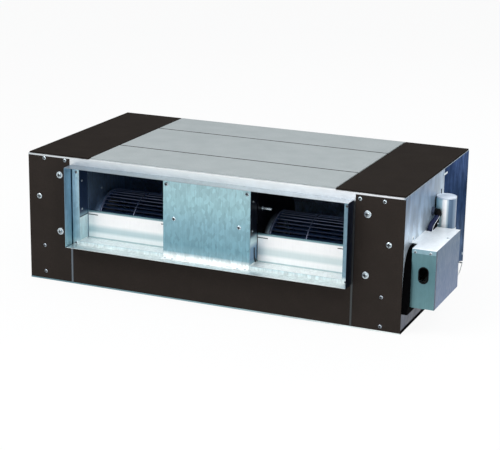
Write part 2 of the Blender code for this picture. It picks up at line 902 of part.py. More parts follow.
def gas_exit():
    y, z = coil_point(gas_level, gas_across)
    return (-half_width - pipe_reach, y, z)


def liquid_exit():
    y, z = coil_point(liquid_level, liquid_across)
    return (-half_width - pipe_reach, y, z)


def spigot_y():
    return seam_y + pan_front + pan_margin


def spigot_z():
    return floor_z + pan_sheet + gap + spigot_radius


def make_coil():
    """The slanted fin block between two end plates that stand in the drain pan."""
    y, z = coil_centre()
    half = (coil_half, coil_thickness / 2, coil_height / 2)
    fins = block("coil_fin_block", [-size for size in half], half, "fin_aluminium")
    fins.location = (0.0, y, z)
    fins.rotation_euler = (-coil_tilt, 0.0, 0.0)
    along = coil_height / 2 + plate_margin
    across = coil_thickness / 2 + plate_margin
    front = coil_point(-along, -across)
    rear = coil_point(-along, across)
    foot_z = floor_z + pan_sheet + gap
    outline = [
        coil_point(along, -across),
        coil_point(along, across),
        rear,
        (rear[0], foot_z),
        (front[0], foot_z),
        front,
    ]
    plate_x = coil_half + gap + coil_plate / 2
    plate = cut_flat("right_coil_plate", [outline], coil_plate, (plate_x, 0.0, 0.0), "x")
    plate, _ = mirrored(plate, "left_coil_plate")
    for number in range(bend_count):
        along = (number - (bend_count - 1) / 2) * bend_pitch
        route = [
            (plate_x + tube_radius + out, *coil_point(along, across))
            for across, out in arc(tube_pitch / 2, 0.0, math.pi, bend_steps)
        ]
        route = [(plate_x, *route[0][1:]), *route, (plate_x, *route[-1][1:])]
        join(plate, tube("return_bend", route, tube_radius, "copper"))


def make_pipes():
    """The gas header and liquid pipe on the left end plate, and the drain pan with its spigot."""
    face = -coil_half - 2 * gap - coil_plate
    for name, radius, leave, across in (
        ("gas_header", gas_radius, gas_exit(), gas_across),
        ("liquid_pipe", liquid_radius, liquid_exit(), liquid_across),
    ):
        header_x = face - radius
        foot = coil_point(header_foot, across)
        turn_in = (header_x, leave[1], leave[2])
        back = 4 * radius
        before = coil_blend(foot, turn_in[1:], back)
        route = [(header_x, *foot), (header_x, *before)]
        for a, b in arc(back, 0.0, math.pi / 2, bend_steps)[1:]:
            route.append((header_x - back + a, *coil_blend(foot, turn_in[1:], back - b)))
        route.append(leave)
        tube(name, route, radius, "copper")
    low = (-coil_half - pan_margin, seam_y + pan_front, floor_z)
    high = (coil_half + pan_margin, notch_y - pan_front / 2, floor_z + pan_height)
    pan = tray("drain_pan", low, high, ("+z",), "galvanised", pan_sheet)
    centre = (-coil_half - pan_margin, spigot_y(), spigot_z())
    cut(pan, rod("drain_hole", spigot_radius - spigot_wall, -bend, bend, "x", centre))
    start = -gap
    stop = -(half_width - coil_half - pan_margin) - pipe_reach
    inside = spigot_radius - spigot_wall
    loop = [(inside, start), (spigot_radius, start), (spigot_radius, stop), (inside, stop)]
    turned("drain_spigot", [loop], "x", centre, "white_plastic", hole_steps)


def coil_blend(foot, end, back):
    """The point this far short of the end on the straight line from the foot."""
    line = Vector(end) - Vector(foot)
    return tuple(Vector(end) - line.normalized() * back)


def make_return_frame():
    """The rear plate round the return-air opening, with a duct collar turned out of it."""
    half = return_half + return_margin
    low = (-half, back_y - sheet, notch_top)
    high = (half, back_y, ceiling_z)
    frame = block("return_frame", low, high, "galvanised")
    low = (-return_half - sheet, back_y - 1.5 * sheet, return_floor - sheet)
    high = (return_half + sheet, back_y + return_collar, return_top + sheet)
    join(frame, block("return_duct", low, high, "galvanised"))
    low = (-return_half, back_y - bend, return_floor)
    high = (return_half, back_y + 2 * return_collar, return_top)
    cut(frame, block("return_opening", low, high, "galvanised"))


def make_top_insulation():
    """Three grey pads between two black ones, glued on the top cover."""
    low_z = height + gap
    seams = (front_y + front_pad_end, front_y + middle_pad_end)
    spans = (
        ("top_pad_front", front_y + pad_front_rim, seams[0] - pad_seam / 2),
        ("top_pad_middle", seams[0] + pad_seam / 2, seams[1] - pad_seam / 2),
        ("top_pad_rear", seams[1] + pad_seam / 2, back_y),
    )
    for name, start, stop in spans:
        low = (-pad_half, start, low_z)
        block(name, low, (pad_half, stop, pad_top), "grey_foam", pad_round)
    low = (pad_half + pad_seam / 2, front_y + black_front_rim, low_z)
    high = (half_width - black_side_rim, back_y, pad_top)
    black = block("right_top_foam", low, high, "black_foam", pad_round)
    mirrored(black, "left_top_foam")


def make_electrical_box():
    """Box body, lid, stand-off bracket, cable grommet and the terminal block inside."""
    low = (box_x, box_y, box_floor)
    high = (box_x + box_width - sheet - gap, box_y + box_length, box_top - sheet - gap)
    body = tray("box_body", low, high, ("+x", "+z"))
    slot_x = box_x + box_width / 2
    slot_z = box_floor + slot_rise
    hole = oval(slot_width, slot_height)
    cut(body, cut_flat("cable_slot", [hole], 2 * bend, (slot_x, box_y, slot_z), "y"))
    centre = (box_x, lead_box_y, lead_box_z)
    cut(body, rod("lead_slot", lead_radius + 2 * sheet, -standoff / 2, standoff / 2, "x", centre))
    trim = slot_width - 2 * gap
    tall = slot_height - 2 * gap
    rings = [oval(trim, tall), oval(trim - 2 * grommet_wall, tall - 2 * grommet_wall)]
    centre = (slot_x, box_y + sheet / 2, slot_z)
    cut_flat("cable_grommet", rings, grommet_length, centre, "y", "black_rubber")
    low = (box_x, box_y - gap - sheet, box_floor)
    high = (box_x + box_width, box_y + box_length + gap + sheet, box_top)
    lid = tray("box_lid", low, high, ("-x", "-z"))
    low = (box_x - bend, box_y - bend, box_floor - bend)
    high = (box_x + box_width - sheet, box_y + box_length + bend, box_top - lid_lip)
    cut(lid, block("lid_trim", low, high, "galvanised"))
    near = half_width + gap + sheet / 2
    far = box_x - gap - sheet / 2
    shelf_z = box_top - sheet / 2
    profile = [
        (near, box_top + tab_height),
        (near, shelf_z),
        (far, shelf_z),
        (far, box_floor + bend),
        (near, box_floor + bend),
        (near, box_floor - bend),
    ]
    start = box_y + bracket_front
    stop = start + bracket_length
    bracket = folded("box_bracket", profile, start, stop, "y")
    low = (half_width - bend, start + tab_width, box_top + sheet)
    high = (box_x, stop + bend, box_top + 2 * bend)
    cut(bracket, block("tab_trim", low, high, "galvanised"))
    inside_x = box_x + sheet + gap
    middle_y = box_y + box_length / 2
    pitch = (block_length - block_wall) / block_poles
    low_z = box_floor + sheet + 2 * bend
    outline = [(inside_x, middle_y - block_length / 2)]
    for number in range(block_poles):
        y = middle_y - block_length / 2 + number * pitch
        outline += [
            (inside_x + block_depth, y),
            (inside_x + block_depth, y + block_wall),
            (inside_x + block_base, y + block_wall),
            (inside_x + block_base, y + pitch),
        ]
    outline.append((inside_x + block_depth, middle_y + block_length / 2 - block_wall))
    outline.append((inside_x + block_depth, middle_y + block_length / 2))
    outline.append((inside_x, middle_y + block_length / 2))
    centre = (0.0, 0.0, low_z + block_height / 2)
    cut_flat("terminal_block", [outline], block_height, centre, "z", "white_plastic")


def make_capacitor():
    """The run capacitor's can, held to the side panel by a band with two ears."""
    top = can_floor + can_height
    rim = can_rim
    loop = [
        (0.0, top - rim),
        (can_radius - 2 * rim, top - rim),
        (can_radius - rim, top),
        (can_radius, top - rim),
        (can_radius, can_floor + rim),
        (can_radius - rim, can_floor),
        (0.0, can_floor),
    ]
    turned("capacitor", [loop], "z", (can_x, can_y, 0.0), "can_aluminium")
    inside = can_radius + gap
    outside = inside + strap_wall
    middle = can_floor + strap_level
    low = middle - strap_height / 2
    high = middle + strap_height / 2
    loop = [(inside, high), (outside, high), (outside, low), (inside, low)]
    band = turned("capacitor_clamp", [loop], "z", (can_x, can_y, 0.0), "galvanised")
    ear_x = half_width + gap
    low = (ear_x, can_y - strap_tab, low + gap)
    high = (ear_x + sheet, can_y + strap_tab, high - gap)
    join(band, block("clamp_ears", low, high, "galvanised"))


def steps_from(anchor, offsets):
    return [tuple(a + b for a, b in zip(anchor, offset)) for offset in offsets]


def make_motor_lead():
    """The sleeved lead from the motor, behind a scroll and out through the panel to the box."""
    bay_y = axis_y + axis_to_seam - plenum / 2
    above_z = scroll_top - 2 * lead_radius
    motor_side = (0.0, axis_y + motor_radius + lead_radius + 2 * gap, axis_z)
    panel_hole = (half_width, lead_hole_y, lead_hole_z)
    beside_box = (half_width, lead_box_y, lead_box_z)
    in_box = (box_x, lead_box_y, lead_box_z)
    route = [
        *steps_from(motor_side, lead_at_motor),
        (bay_half + bend, bay_y, above_z),
        (wheel_x, bay_y, above_z + lead_radius),
        (neck_outer_x - 2 * bend, bay_y, above_z),
        *steps_from(panel_hole, lead_inside_panel + lead_outside_panel),
        *steps_from(beside_box, lead_down_to_box + lead_above_box_hole),
        *steps_from(in_box, lead_in_box),
    ]
    tube("motor_lead", smooth_route(route, 2), lead_radius, "black_rubber")
    bore = grommet_bore
    neck = bore + grommet_lip
    rim = neck + grommet_lip
    face = sheet / 2 + gap
    lip = face + grommet_lip / 2
    snout = lip + grommet_snout
    loop = [
        (bore, snout),
        (neck, snout),
        (rim, lip),
        (rim, face),
        (neck, face),
        (neck, -face),
        (rim, -face),
        (rim, -lip),
        (bore, -lip),
    ]
    centre = (half_width - sheet / 2, lead_hole_y, lead_hole_z)
    turned("lead_grommet", [loop], "x", centre, "black_rubber", hole_steps)


clear_scene()
parts = collection("fan_coil_unit")
cutters = collection("cutters")
make_base_and_top()
make_side_panels()
make_front_corners()
make_front_lower()
make_discharge()
make_scrolls()
make_rotor()
make_motor()
make_coil()
make_pipes()
make_return_frame()
make_top_insulation()
make_electrical_box()
make_capacitor()
make_motor_lead()
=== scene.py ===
import math

import bmesh
import bpy
import numpy as np
from mathutils import Matrix, Vector


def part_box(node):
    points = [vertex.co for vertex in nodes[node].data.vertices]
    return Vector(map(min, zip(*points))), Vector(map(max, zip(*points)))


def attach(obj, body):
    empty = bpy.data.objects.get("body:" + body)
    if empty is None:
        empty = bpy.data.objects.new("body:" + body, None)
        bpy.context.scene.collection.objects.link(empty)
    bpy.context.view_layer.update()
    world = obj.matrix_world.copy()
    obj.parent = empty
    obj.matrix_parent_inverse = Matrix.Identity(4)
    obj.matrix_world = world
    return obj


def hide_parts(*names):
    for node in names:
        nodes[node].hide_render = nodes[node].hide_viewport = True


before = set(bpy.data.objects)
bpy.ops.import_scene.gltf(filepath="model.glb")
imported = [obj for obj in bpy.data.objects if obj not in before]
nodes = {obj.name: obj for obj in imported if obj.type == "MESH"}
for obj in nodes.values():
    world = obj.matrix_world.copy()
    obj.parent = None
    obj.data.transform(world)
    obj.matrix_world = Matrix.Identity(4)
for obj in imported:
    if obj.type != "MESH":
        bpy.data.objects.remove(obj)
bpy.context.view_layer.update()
print("frame loaded:", len(nodes), "nodes")

bodyName = "casing"  # everything but the two blower wheels and their shaft


def linear(hexColour):
    # sRGB hex to linear: c / 12.92 below 0.04045, else ((c + 0.055) / 1.055) to the power 2.4
    parts = [int(hexColour[i:i + 2], 16) / 255 for i in (1, 3, 5)]
    return tuple(c / 12.92 if c <= 0.04045 else ((c + 0.055) / 1.055) ** 2.4 for c in parts) + (1.0,)


def feed(tree, node, inputs):
    # a list fills the first sockets and a dictionary the ones it names, each with a number, a hex
    # colour or another node's output
    for key, value in inputs.items() if isinstance(inputs, dict) else enumerate(inputs):
        if isinstance(value, bpy.types.NodeSocket):
            tree.links.new(value, node.inputs[key])
        else:
            node.inputs[key].default_value = linear(value) if isinstance(value, str) else value


def addNode(tree, kind, inputs=(), out=0, **settings):
    # one shader node with its settings and links; gives its output out, or the node itself for None
    node = tree.nodes.new("ShaderNode" + kind)
    for key, value in settings.items():
        setattr(node, key, value)
    feed(tree, node, inputs)
    return node if out is None else node.outputs[out]


def newMaterial(name, metallic, roughness, specular=0.5):
    # gives the material, its tree and shader, and the object's own coordinates
    material = bpy.data.materials.new(name)
    material.use_nodes = True
    tree = material.node_tree
    shader = tree.nodes["Principled BSDF"]
    feed(tree, shader, {"Metallic": metallic, "Roughness": roughness, "Specular IOR Level": specular})
    return material, tree, shader, addNode(tree, "TexCoord", out="Object")


colourMix = dict(out=2, data_type="RGBA")  # a Mix node for colours takes them at sockets 6 and 7
noiseSpan = (0.3, 0.7)  # most values of a noise pattern lie between these
glossSpan = (0.2, 0.8)  # and nearly all between these


def noiseAt(tree, place, sizesMm, detail=3.0):
    # noise whose grains measure sizesMm along X, Y and Z
    scaled = addNode(tree, "VectorMath", [place, [1000 / s for s in sizesMm]], operation="MULTIPLY")
    return addNode(tree, "TexNoise", {"Vector": scaled, "Scale": 1.0, "Detail": detail})


def spangle(tree, place, grainMm):
    # grey level of each zinc crystal, 0 to 1: the red share of its cell's random colour
    scaled = addNode(tree, "VectorMath", [place, [1000 / s for s in grainMm]], operation="MULTIPLY")
    cells = addNode(tree, "TexVoronoi", {"Vector": scaled, "Scale": 1.0, "Randomness": 1.0}, out="Color")
    return addNode(tree, "SeparateColor", [cells])


# Hot-dip galvanised sheet: rolled steel dipped in zinc, which sets in flat crystals (spangle).
# The eye sees a pale blue-grey mottle and long faint rolling lines. Sizes are in mm, and the lines,
# which really are under a millimetre apart, are drawn as coarse as they need to show.
zincLook = dict(metallic=0.85, roughness=0.36, specular=0.5, grain=(9, 9, 16), streak=(3.5, 3.5, 90),
                cloud=(60, 40, 90), cloudSpan=(0.35, 0.65), mottle=0.16, streaks=0.16, clouds=0.0,
                dents=0.12, dentMm=0.08, smoother=0.06, rougher=0.08)


def zincSheet(name, base, along="z", **changes):
    # base(tree, place) gives the colour, which crystals and rolling lines make lighter or darker
    look = {**zincLook, **changes}
    material, tree, shader, place = newMaterial(name, look["metallic"], look["roughness"], look["specular"])
    turn = 1 if along == "z" else -1  # crystals and lines run along z, or along x
    crystals = spangle(tree, place, look["grain"][::turn])
    lines = noiseAt(tree, place, look["streak"][::turn], 2.0)
    light = addNode(tree, "Math", [
        addNode(tree, "MapRange", [crystals, 0, 1, 1 - look["mottle"], 1 + look["mottle"]]),
        addNode(tree, "MapRange", [lines, *noiseSpan, 1 - look["streaks"], 1 + look["streaks"]])],
        operation="MULTIPLY")
    if look["clouds"]:  # broad soft patches, as wide as a hand
        broad = noiseAt(tree, place, look["cloud"], 1.0)
        broad = addNode(tree, "MapRange", [broad, *look["cloudSpan"], 1 - look["clouds"], 1 + look["clouds"]])
        light = addNode(tree, "Math", [light, broad], operation="MULTIPLY")
    tinted = addNode(tree, "VectorMath", {0: base(tree, place), 3: light}, operation="SCALE")
    uneven = addNode(tree, "MapRange", [crystals, 0, 1, look["roughness"] - look["smoother"],
                                        look["roughness"] + look["rougher"]])
    dented = addNode(tree, "Bump", {"Height": crystals, "Strength": look["dents"],
                                    "Distance": look["dentMm"] / 1000})
    feed(tree, shader, {"Base Color": tinted, "Roughness": uneven, "Normal": dented})
    return material


def plain(hexColour):
    # the same colour everywhere, in the form that fade and over give
    return lambda tree, place: addNode(tree, "Mix", {0: 0.0, 6: hexColour, 7: hexColour}, **colourMix)


def fade(letter, stops):
    # colours along one axis: a list of (place in metres, colour), with soft steps between
    def base(tree, place):
        along = addNode(tree, "SeparateXYZ", [place], out=letter)
        colour = stops[0][1]
        for (start, _), (stop, nextColour) in zip(stops, stops[1:]):
            step = addNode(tree, "MapRange", [along, start, stop])
            colour = addNode(tree, "Mix", {0: step, 6: colour, 7: nextColour}, **colourMix)
        return colour
    return base


def over(first, letter, start, stop, second):
    # second lies over first where the axis passes from start to stop
    def base(tree, place):
        along = addNode(tree, "SeparateXYZ", [place], out=letter)
        mask = addNode(tree, "MapRange", [along, start, stop])
        return addNode(tree, "Mix", {0: mask, 6: first(tree, place), 7: second(tree, place)}, **colourMix)
    return base


# Part of the photo's own light, shade and reflections is painted into the colours below: they change
# along X, Y or Z by stops that were matched to the photo, and they stay so under any other light.
# plain("#9db3be") is the sheet without them. The left panels' sheet has its inner face painted black, as
# painted shade.
zincPlain = zincSheet("galvanisedSheet", plain("#9db3be"))
zincShadedInside = zincSheet("galvanisedSheetShadedInside", over(plain("#9db3be"), "X", -0.6498, -0.6490, plain("#0c1116")),
                      metallic=0.30, specular=0.2)
zincCover = zincSheet("galvanisedCover", fade("Z", [
    (0.150, "#f4f9f9"), (0.164, "#86acb9"), (0.190, "#76a0ae"), (0.260, "#86aebb"), (0.330, "#9dc4cc"),
    (0.405, "#abced5")]), mottle=0.13, streaks=0.07)

collarLeft = over(fade("Z", [(0.1385, "#dbe2e2"), (0.150, "#d3e5e9"), (0.165, "#a0bfcb"), (0.26, "#b2d2de"),
                             (0.36, "#d3f0f9"), (0.405, "#dcf9ff")]), "X", -0.4835, -0.4845, plain("#12304a"))
collarRight = fade("Z", [(0.1385, "#dbe2e2"), (0.150, "#dfeaec"), (0.160, "#7f9cac"), (0.405, "#7493a3")])
cheekOutside = fade("Z", [(0.138, "#151e33"), (0.405, "#1d2942")])
cheekInside = over(fade("Z", [(0.14, "#96bac4"), (0.24, "#7f9fb4"), (0.405, "#7b9bb3")]),
                   "Y", -0.3560, -0.3530, plain("#2a4054"))
collarTop = fade("X", [(-0.49, "#788896"), (0.0, "#96a5ab"), (0.49, "#bcc5cd")])
collar = over(collarLeft, "X", 0.40, 0.46, collarRight)
collar = over(collar, "X", 0.4860, 0.4866, cheekOutside)
collar = over(collar, "X", -0.4862, -0.4867, cheekInside)
zincCollar = zincSheet("galvanisedCollar", over(collar, "Z", 0.4066, 0.4069, collarTop), mottle=0.10,
                       streaks=0.10)

deckHigh = fade("X", [(-0.4830, "#12304a"), (-0.4815, "#b5d6e6"), (-0.4660, "#e4f7fb"), (-0.4630, "#3a5160"),
                      (-0.4610, "#3a5160"), (-0.4600, "#b7c5cf"), (-0.4590, "#a8c3cf"), (0.45, "#a8c3cf")])
deckLow = fade("X", [(-0.4830, "#1c3c54"), (-0.4815, "#86a8b9"), (-0.4640, "#9fc0cc"), (0.45, "#a8c3cf")])
zincDeck = zincSheet("galvanisedDeck", over(deckHigh, "Z", 0.262, 0.150, deckLow), mottle=0.08, streaks=0.08,
                     metallic=0.30)

leftNeck = fade("Z", [(0.1500, "#e9f3f4"), (0.1532, "#e9f3f4"), (0.1545, "#b9d6dd"), (0.215, "#c4dfe4"),
                      (0.2305, "#d3e8ec"), (0.2318, "#33505c"), (0.2345, "#33505c"), (0.2360, "#7799a6"),
                      (0.2450, "#4b6a80"), (0.250, "#2a3d5a"), (0.400, "#24344f")])
rightNeck = fade("Z", [(0.1500, "#f2f9f9"), (0.1532, "#f2f9f9"), (0.1545, "#8fb4c2"), (0.170, "#6485a4"),
                       (0.205, "#7394b0"), (0.222, "#c3dce0"), (0.236, "#a9c8cf"), (0.2450, "#3a5568"),
                       (0.250, "#10141f"), (0.400, "#0c0c12")])
zincNeck = zincSheet("galvanisedNeck", over(leftNeck, "X", -0.05, 0.05, rightNeck), mottle=0.08, streaks=0.08,
                     metallic=0.30)

zincScroll = zincSheet("galvanisedScroll", fade("X", [(-0.1, "#90aac8"), (0.22, "#b9cde2")]), mottle=0.12,
                       dents=0.05)
leftScrollSide = fade("X", [(-0.4545, "#8ea9c4"), (-0.4420, "#c3d6e4"), (-0.40, "#9ab4cc")])
rightScrollSide = fade("X", [(0.1560, "#17141a"), (0.1700, "#d3e2ea")])
zincScrollSide = zincSheet("galvanisedScrollSide", over(leftScrollSide, "X", 0.0, 0.1, rightScrollSide),
                           mottle=0.12, dents=0.05)

rightCutoff = fade("Z", [(0.1500, "#b3c7ca"), (0.1530, "#b9cdd0"), (0.1560, "#fbfdfd"), (0.1700, "#fefefe"),
                         (0.1790, "#d6e3e4"), (0.1920, "#d9e5e6"), (0.2060, "#fdfefe"), (0.2368, "#ffffff"),
                         (0.2400, "#82a3ab"), (0.2453, "#4d7079")])
leftCutoff = fade("Z", [(0.1500, "#a9bfc2"), (0.1530, "#afc5c8"), (0.1560, "#eff3f3"), (0.1660, "#eef4f5"),
                        (0.1760, "#bdd2d6"), (0.1860, "#c6d8dc"), (0.2000, "#fdfefe"), (0.2368, "#ffffff"),
                        (0.2400, "#82a3ab"), (0.2453, "#4d7079")])
zincCutoff = zincSheet("galvanisedCutoff", over(leftCutoff, "X", -0.05, 0.05, rightCutoff), mottle=0.015,
                       streaks=0.015, roughness=0.34, dents=0.0, metallic=0.55)

zincFlange = zincSheet("galvanisedFlange", fade("X", [
    (-0.65, "#cdd3d7"), (-0.15, "#ebeff1"), (0.35, "#edf0f2"), (0.63, "#e4e7ec"), (0.6445, "#dde1e6"),
    (0.6460, "#a3b2be")]), along="x", mottle=0.02, streaks=0.03, dents=0.04)
zincPost = zincSheet("galvanisedPost", fade("X", [(-0.1, "#666f77"), (0.1, "#464a4b")]), mottle=0.06,
                     streaks=0.06)

sideFoot = fade("Y", [(-0.35, "#353f52"), (0.06, "#232e43")])
sideLow = fade("Y", [(-0.35, "#cfdbe6"), (-0.10, "#c3d3e0"), (0.06, "#9fb3c8")])
sideMid = fade("Y", [(-0.35, "#96a8bc"), (-0.20, "#8a9fb5"), (-0.05, "#9dafc2"), (0.06, "#bfd1df")])
sideTop = fade("Y", [(-0.35, "#5a718b"), (-0.10, "#6d849e"), (0.06, "#a3b8cb")])
sideFront = over(sideFoot, "Z", 0.080, 0.110, sideLow)
sideFront = over(sideFront, "Z", 0.285, 0.345, sideMid)
zincSideFront = zincSheet("galvanisedSideFront", over(sideFront, "Z", 0.345, 0.42, sideTop), mottle=0.12,
                          streaks=0.18, metallic=0.45, specular=0.3, clouds=0.22)
rearLow = fade("Z", [(0.0, "#5a6d88"), (0.12, "#51647f"), (0.24, "#2b3d5b")])
rearTop = fade("Y", [(0.06, "#2f4266"), (0.22, "#3d5076"), (0.35, "#4a5d84")])
zincSideRear = zincSheet("galvanisedSideRear", over(rearLow, "Z", 0.30, 0.42, rearTop), mottle=0.16,
                         streaks=0.30, metallic=0.0, roughness=0.60, specular=0.0, clouds=0.25)

zincBase = zincSheet("galvanisedBase", fade("X", [(-0.65, "#5f7f8a"), (0.1, "#8cabb2"), (0.60, "#eef6f6")]),
                     along="x", mottle=0.10)
zincBoxBody = zincSheet("galvanisedBoxBody", fade("Z", [
    (0.09, "#668b91"), (0.20, "#577c84"), (0.26, "#64888f")]), mottle=0.05, streaks=0.05)
lidSide = over(fade("Z", [(0.09, "#5c7091"), (0.27, "#4a647d")]), "Y", -0.3125, -0.3145, plain("#33495e"))
lidFront = over(plain("#86a5b0"), "X", 0.7450, 0.7454, lidSide)
zincBoxLid = zincSheet("galvanisedBoxLid", over(lidFront, "Z", 0.2722, 0.2727, plain("#f3f8fb")), mottle=0.03,
                       streaks=0.03, metallic=0.15, specular=0.2)
zincBright = zincSheet("brightZincPlate", plain("#cfdbe2"), mottle=0.03, streaks=0.03, roughness=0.22)


def grained(name, dark, light, roughness, grainMm, metallic=0.0, specular=0.5, detail=3.0, span=noiseSpan,
            broadMm=None, dents=0.0, dentMm=0.3, smoother=0.0, rougher=0.0):
    # two tones that follow a grain, which can also dent the surface and make its gloss uneven
    material, tree, shader, place = newMaterial(name, metallic, roughness, specular)
    grain = noiseAt(tree, place, grainMm, detail)
    share = addNode(tree, "MapRange", [grain, *span])
    if broadMm:
        broad = addNode(tree, "MapRange", [noiseAt(tree, place, broadMm, 2.0), *span])
        share = addNode(tree, "Math", [share, broad], operation="MULTIPLY")
    sockets = {"Base Color": addNode(tree, "Mix", {0: share, 6: dark, 7: light}, **colourMix)}
    if dents:
        sockets["Normal"] = addNode(tree, "Bump", {"Height": grain, "Strength": dents,
                                                   "Distance": dentMm / 1000})
    if rougher:
        sockets["Roughness"] = addNode(tree, "MapRange", [grain, *glossSpan, roughness - smoother,
                                                          roughness + rougher])
    feed(tree, shader, sockets)
    return material


# Closed-cell foam sheet, a skinned sponge: the eye sees a matt face with a fine irregular grain.
# Its cells, about a millimetre wide, are drawn as coarse as they need to show.
foamLook = dict(broadMm=(70, 70, 70), dents=0.35, dentMm=0.4)
foamBlack = grained("nitrileFoam", "#241e1a", "#2b2420", 0.92, (4, 4, 4), specular=0.25, **foamLook)
# the same foam for the faces that look up, its colour painted darker against the stronger light on them
foamTopPaintedDarker = grained("nitrileFoamTopPaintedDarker", "#1d1815", "#241f1b", 0.95, (5, 5, 5), specular=0.06, **foamLook)
foamGrey = grained("polyethyleneFoam", "#9ba2a3", "#a8aeaf", 0.85, (5, 5, 5), specular=0.25, **foamLook)

# Moulded rubber, PVC or ABS: the eye sees a dull skin with a faint bloom in patches
mouldLook = dict(grainMm=(12, 12, 12), dents=0.15, dentMm=0.3)
rubberBlack = grained("mouldedRubber", "#030305", "#07070a", 0.60, specular=0.08, **mouldLook)
rubberDusty = grained("bloomedRubber", "#3c4556", "#4d586a", 0.80, specular=0.10, **mouldLook)
sleeveNavy = grained("pvcSleeve", "#171d3c", "#212949", 0.50, specular=0.12, **mouldLook)
wireGrey = grained("pvcWire", "#dfe6ee", "#f4f7fa", 0.35, **mouldLook)
plasticWhite = grained("mouldedAbs", "#d8d8d2", "#e4e4df", 0.45, **mouldLook)
nearBlackFill = grained("nearBlackFill", "#020203", "#050506", 0.9, specular=0.02, **mouldLook)  # near-black with almost no gloss: painted shade in the gaps behind the box and the can, and the dark strip at the panel's foot
slotShadow = grained("paintedShadeSteel", "#10161c", "#1b232a", 0.60, **mouldLook)  # near-black painted shade in recesses, slots and the neck's seam, and the dark line on the side panel

# Drawn, rolled or turned metal: the eye sees a bright face with fine lines along the draw, which are
# drawn as coarse as they need to show
drawnLook = dict(smoother=0.05, rougher=0.08)
copperTube = grained("drawnCopper", "#b8714a", "#d08f66", 0.28, (60, 3, 3), metallic=1.0, **drawnLook)
screwDull = grained("dulledScrew", "#8a95a0", "#b4bdc6", 0.34, (3, 3, 3), metallic=1.0, **drawnLook)
shaftSteel = grained("turnedSteel", "#a0a6ac", "#c4c9cd", 0.25, (40, 2, 2), metallic=1.0, **drawnLook)
steelBright = grained("zincPlatedScrew", "#a9bac4", "#d9e2e6", 0.26, (3, 3, 3), metallic=0.75, **drawnLook)
finAluminium = grained("rolledFinStock", "#c9ced2", "#e2e6e9", 0.40, (3, 20, 60), metallic=0.4, **drawnLook)

# Stove enamel on the motor's shell: the eye sees dark satin with slight orange peel
motorEnamel = grained("stoveEnamel", "#24282d", "#31363c", 0.42, (3, 3, 3), detail=2.0, span=(0, 1),
                      dents=0.2, dentMm=0.1)

# Drawn aluminium can: the eye sees faint die lines along it. Its stripe, bright in the middle and dark
# to the right, is the photo's highlight and shade, painted in along X.
canLook = dict(metallic=0.25, roughness=0.32, dieLinesMm=(2.5, 2.5, 120), contrast=0.06, lid="#cdd8e4",
               lidZ=(0.3600, 0.3605), stripe=[
                   (0.6547, "#9cc4cf"), (0.6656, "#accfd8"), (0.6780, "#b8d2da"), (0.6815, "#ffffff"),
                   (0.6921, "#ffffff"), (0.6944, "#c6d3da"), (0.6975, "#9db0be"), (0.7000, "#57708a"),
                   (0.7095, "#4f6882"), (0.7120, "#71879e"), (0.7158, "#8093a9")])


def canMetal():
    material, tree, shader, place = newMaterial("drawnAluminium", canLook["metallic"], canLook["roughness"])
    lines = addNode(tree, "MapRange", [noiseAt(tree, place, canLook["dieLinesMm"]), *noiseSpan,
                                       1 - canLook["contrast"], 1 + canLook["contrast"]])
    tinted = addNode(tree, "VectorMath", {0: fade("X", canLook["stripe"])(tree, place), 3: lines},
                     operation="SCALE")
    height = addNode(tree, "SeparateXYZ", [place], out="Z")
    top = addNode(tree, "MapRange", [height, *canLook["lidZ"]])
    colour = addNode(tree, "Mix", {0: top, 6: tinted, 7: canLook["lid"]}, **colourMix)
    feed(tree, shader, {"Base Color": colour})
    return material


# Pressed galvanised wheel: the eye sees dull dark zinc. Its paler outer edges, from rim[0] to rim[1] metres
# from the axle, are a painted highlight, and the dark blue is partly the shade inside the scroll, painted in.
wheelLook = dict(metallic=0.8, roughness=0.42, grimeMm=(25, 8, 8), dark="#375078", light="#4b6a99",
                 edge="#7d849c", rim=(0.1165, 0.1195))


def wheelSteel():
    material, tree, shader, place = newMaterial("pressedWheelSteel", wheelLook["metallic"],
                                                wheelLook["roughness"])
    low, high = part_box("motor_shaft")
    centre = (low + high) / 2
    turned = addNode(tree, "VectorMath", [place, (0.0, centre.y, centre.z)], operation="SUBTRACT")
    flat = addNode(tree, "VectorMath", [turned, (0.0, 1.0, 1.0)], operation="MULTIPLY")
    radius = addNode(tree, "VectorMath", [flat], out="Value", operation="LENGTH")
    rim = addNode(tree, "MapRange", [radius, *wheelLook["rim"]])
    grime = addNode(tree, "MapRange", [noiseAt(tree, place, wheelLook["grimeMm"]), *noiseSpan])
    inner = addNode(tree, "Mix", {0: grime, 6: wheelLook["dark"], 7: wheelLook["light"]}, **colourMix)
    colour = addNode(tree, "Mix", {0: rim, 6: inner, 7: wheelLook["edge"]}, **colourMix)
    feed(tree, shader, {"Base Color": colour})
    return material


canAluminium, wheelZinc = canMetal(), wheelSteel()
print("finishes made:", len(bpy.data.materials))

